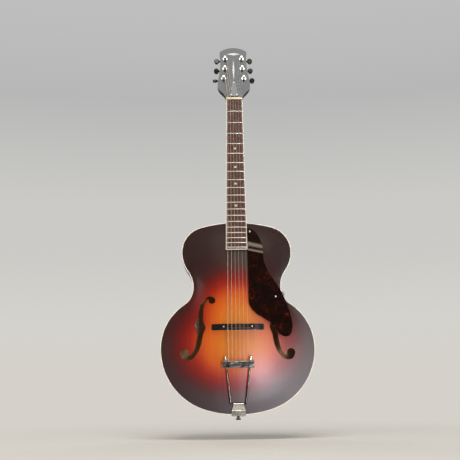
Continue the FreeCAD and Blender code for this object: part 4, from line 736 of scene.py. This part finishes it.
# %% Strings
short_steps, neck_steps = 4, 30
string_sets = [("wound", range(wound_count), "wound_strings", "wound_bronze"),
               ("plain", range(wound_count, string_count), "plain_strings", "plain_string")]
for kind, numbers, node, finish in string_sets:
    head_routes = [(straight(nut_point(n), post_turns(n)[0], short_steps)[:-1] + post_turns(n),
                    string_diameters[n]) for n in numbers]
    over_head = wire_piece(f"{kind}_strings_on_posts", head_routes, finish)
    stands_for(over_head, node, "body")
    tail_routes = [(straight(saddle_point(n), tail_point(n), short_steps), string_diameters[n])
                   for n in numbers]
    behind = wire_piece(f"{kind}_strings_behind_bridge", tail_routes, finish)
    stands_for(behind, node, "tailpiece")
    neck_routes = [(straight(nut_point(n), saddle_point(n), neck_steps), string_diameters[n])
                   for n in numbers]
    speaking = wire_piece(f"{kind}_strings_over_neck", neck_routes, finish)
    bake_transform(speaking)
    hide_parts(node)
    print("strung:", kind, len(numbers))

# %% [markdown]
# Ball ends
#
# Each string ends in a small brass barrel that the wire loops round. It sits inside the crossbar, so it is a
# plain lathe-turned piece: a circle, extruded, with its rim eased.

# %% Ball ends
ball_radius, ball_length = 2.0, 3.6
ball_edge = 0.4 * MM
balls = bmesh.new()
for number in range(string_count):
    place = tail_frame @ Matrix.Translation((string_x(number, tail_spread), 0, ball_level - ball_radius))
    place = Matrix.Scale(MM, 4) @ place @ Matrix.Rotation(math.pi / 2, 4, "X")
    bmesh.ops.create_cone(balls, cap_ends=True, segments=20, radius1=ball_radius, radius2=ball_radius,
                          depth=ball_length, matrix=place)
ease(balls, ball_edge)
string_balls = piece_from(balls, "string_ball_ends", "brass")
stands_for(string_balls, "plain_strings", "tailpiece")
print("ball ends:", len(string_balls.data.polygons), "faces")

# %% [markdown]
# Floor and backdrop
#
# The guitar is shown over a plain pale floor. Far from the guitar the floor takes the backdrop's own colour,
# as a paper sweep does where it curves up out of the light, so no horizon shows.

# %% Floor
floor_level = -62.5 * MM
floor_half = 40.0
sweep_start, sweep_end = 0.3, 1.3
fibres_a_metre = 60.0        # paper fibre is finer; drawn this coarse so that it shows
backdrop_foot = "#D5D1CA"


def paper_floor():
    # Matt seamless paper: no highlight, only light and shade.
    material = bpy.data.materials.new("matt_paper_floor")
    material.use_nodes = True
    tree = material.node_tree
    tree.nodes.clear()
    place = add(tree, "TexCoord").outputs["Object"]
    fibres = add(tree, "TexNoise", {"Vector": place, "Scale": fibres_a_metre, "Detail": 4.0})
    tone = add(tree, "ValToRGB", {"Fac": fibres.outputs["Fac"]},
               stops=[(0.3, "#E2DED4"), (0.7, "#E6E2D9")])
    lit = add(tree, "BsdfDiffuse", {"Color": tone.outputs[0]})
    far = add(tree, "Emission", {"Color": linear(backdrop_foot)})
    reach = add(tree, "VectorMath", {0: place}, operation="LENGTH")
    share = add(tree, "MapRange", {"Value": reach.outputs["Value"], "From Min": sweep_start,
                                   "From Max": sweep_end}, interpolation_type="SMOOTHSTEP")
    both = add(tree, "MixShader", {0: share.outputs[0], 1: lit.outputs[0], 2: far.outputs[0]})
    add(tree, "OutputMaterial", {"Surface": both.outputs[0]})
    return material


finishes["floor"] = paper_floor()
ground = bmesh.new()
bmesh.ops.create_grid(ground, x_segments=1, y_segments=1, size=floor_half,
                      matrix=Matrix.Translation((0, 0, floor_level)))
floor = piece_from(ground, "floor", "floor")
floor.visible_shadow = False
floor.visible_glossy = False
print("floor at", floor_level)

# %% [markdown]
# Light
#
# A large softbox hangs over the guitar, one stands beside the camera on the treble side and a weak one fills
# the bass side. The pale sheen on the lower bout comes from a small bright card low on the treble side, which
# adds highlights only. A narrow warm strip is there for the two bands on the pickguard's ridge. A small fill
# by the camera looks straight into the sound holes and adds no highlight. Two more softboxes stand behind, so
# that the back and the ribs show their stripes when the guitar is turned. Places and sizes are in metres.


# %% Softboxes
def softbox(name, place, target, width, height, radiance):
    """An area lamp; radiance is how bright it looks, so the power follows from its area."""
    lamp = bpy.data.lights.new(name, "AREA")
    lamp.shape = "RECTANGLE"
    lamp.size, lamp.size_y = width, height
    lamp.energy = radiance * math.pi * width * height
    holder = bpy.data.objects.new(name, lamp)
    holder.location = place
    holder.rotation_mode = "QUATERNION"
    holder.rotation_quaternion = (Vector(target) - Vector(place)).to_track_quat("-Z", "Y")
    holder.visible_camera = False
    scene.collection.objects.link(holder)
    return holder


softbox("overhead_softbox", place=(0.05, -1.35, 3.0), target=(0, 0, 0.5),
        width=2.2, height=1.6, radiance=4.5)
softbox("treble_softbox", place=(0.48, -1.98, 0.13), target=(0.08, -0.05, 0.13),
        width=0.56, height=0.42, radiance=4.0)
sheen = softbox("sheen_card", place=(0.58, -1.98, -0.49), target=(0.08, -0.05, 0.10),
                width=0.22, height=0.26, radiance=175.0)
sheen.data.color = linear("#E2E4EE")[:3]
sheen.visible_diffuse = False
softbox("bass_softbox", place=(-1.7, -1.4, 1.0), target=(0, 0, 0.3),
        width=1.0, height=1.6, radiance=1.5)
strip = softbox("strip_light", place=(0.2, -2.5, 1.45), target=(0.05, -0.06, 0.44),
                width=0.5, height=0.22, radiance=6.0)
strip.data.color = linear("#F2DEC4")[:3]
fill = softbox("front_fill", place=(0.5, -2.0, 0.05), target=(0, 0, 0.25),
               width=0.25, height=0.25, radiance=55.0)
fill.visible_glossy = False
for side in (-1, 1):
    softbox(f"back_softbox_{side}", place=(1.5 * side, 2.1, 1.3), target=(0, 0.05, 0.35),
            width=1.2, height=1.6, radiance=2.2)

# %% [markdown]
# A polished face shows whatever stands before it, and in a studio that is mostly the dark room behind the
# camera. A black card stands for that room, so nickel and lacquer that look straight forward stay dark. It is
# hidden from the camera and throws no shadow. The world gives the rest: an even grey for the light, and a
# pale grey backdrop, darker at head height, where it is seen.

# %% Dark card and world
finishes["black_card"] = smooth_gloss("black_card", "#050505", "#080808", 0.9, 1.0, {})
card_middle = Vector((-0.4, -2.65, 0.65))
card_width, card_height = 5.2, 2.7
card = bmesh.new()
bmesh.ops.create_grid(card, x_segments=1, y_segments=1, size=0.5,
                      matrix=standing_sheet(card_middle, card_width, card_height))
dark_card = piece_from(card, "dark_card", "black_card")
dark_card.visible_camera = False
dark_card.visible_diffuse = False
dark_card.visible_shadow = False

ambient_strength = 0.27
world = bpy.data.worlds.new("studio")
scene.world = world
world.use_nodes = True
sky = world.node_tree
sky.nodes.clear()
way = add(sky, "SeparateXYZ", {0: add(sky, "TexCoord").outputs["Generated"]})
seen = add(sky, "ValToRGB", {"Fac": way.outputs["Z"]},
           stops=[(0.0, backdrop_foot), (0.43, "#BEBEBE"), (0.08, "#D4D2CD"), (0.15, "#CCCBC7"),
                  (0.223, "#CAC9C6"), (0.293, "#BFBFBD"), (0.339, "#B7B7B7")])
backdrop = add(sky, "Background", {"Color": seen.outputs[0], "Strength": 1.0})
ambient = add(sky, "Background", {"Color": linear("#FFFFFF"), "Strength": ambient_strength})
rays = add(sky, "LightPath").outputs
looks = add(sky, "Math", {0: rays["Is Camera Ray"], 1: rays["Is Glossy Ray"]}, operation="MAXIMUM")
looks = add(sky, "Math", {0: looks.outputs[0], 1: rays["Is Transmission Ray"]}, operation="MAXIMUM")
both = add(sky, "MixShader", {0: looks.outputs[0], 1: ambient.outputs[0], 2: backdrop.outputs[0]})
add(sky, "OutputWorld", {"Surface": both.outputs[0]})
scene.view_settings.view_transform = "Standard"
print("world:", world.name)

# %% [markdown]
# Camera
#
# The camera stands about 2.2 m in front of the guitar, a little to the bass side and low, and looks slightly
# up, as it would at a guitar that leans back. Its turns give three axes, which make one matrix.

# %% Camera
camera_place = Vector((-62, -2210, 73)) * MM
camera_turns = (1.2, 10.81, 0.72)
yaw, pitch, roll = (math.radians(angle) for angle in camera_turns)
focal_pixels, frame_pixels = 820.2, 460
sensor_width = 36.0
forward = Vector((math.sin(yaw) * math.cos(pitch), math.cos(yaw) * math.cos(pitch), math.sin(pitch)))
level = Vector((math.cos(yaw), -math.sin(yaw), 0))
down = forward.cross(level)
right = math.cos(roll) * level + math.sin(roll) * down
above = math.sin(roll) * level - math.cos(roll) * down
lens = bpy.data.cameras.new("photo_camera")
lens.sensor_width = sensor_width
lens.lens = sensor_width * focal_pixels / frame_pixels
camera = bpy.data.objects.new("photo_camera", lens)
axes = Matrix((right, above, -forward)).transposed()
camera.matrix_world = Matrix.Translation(camera_place) @ axes.to_4x4()
scene.collection.objects.link(camera)
scene.camera = camera
print("lens:", round(lens.lens, 2), "mm")
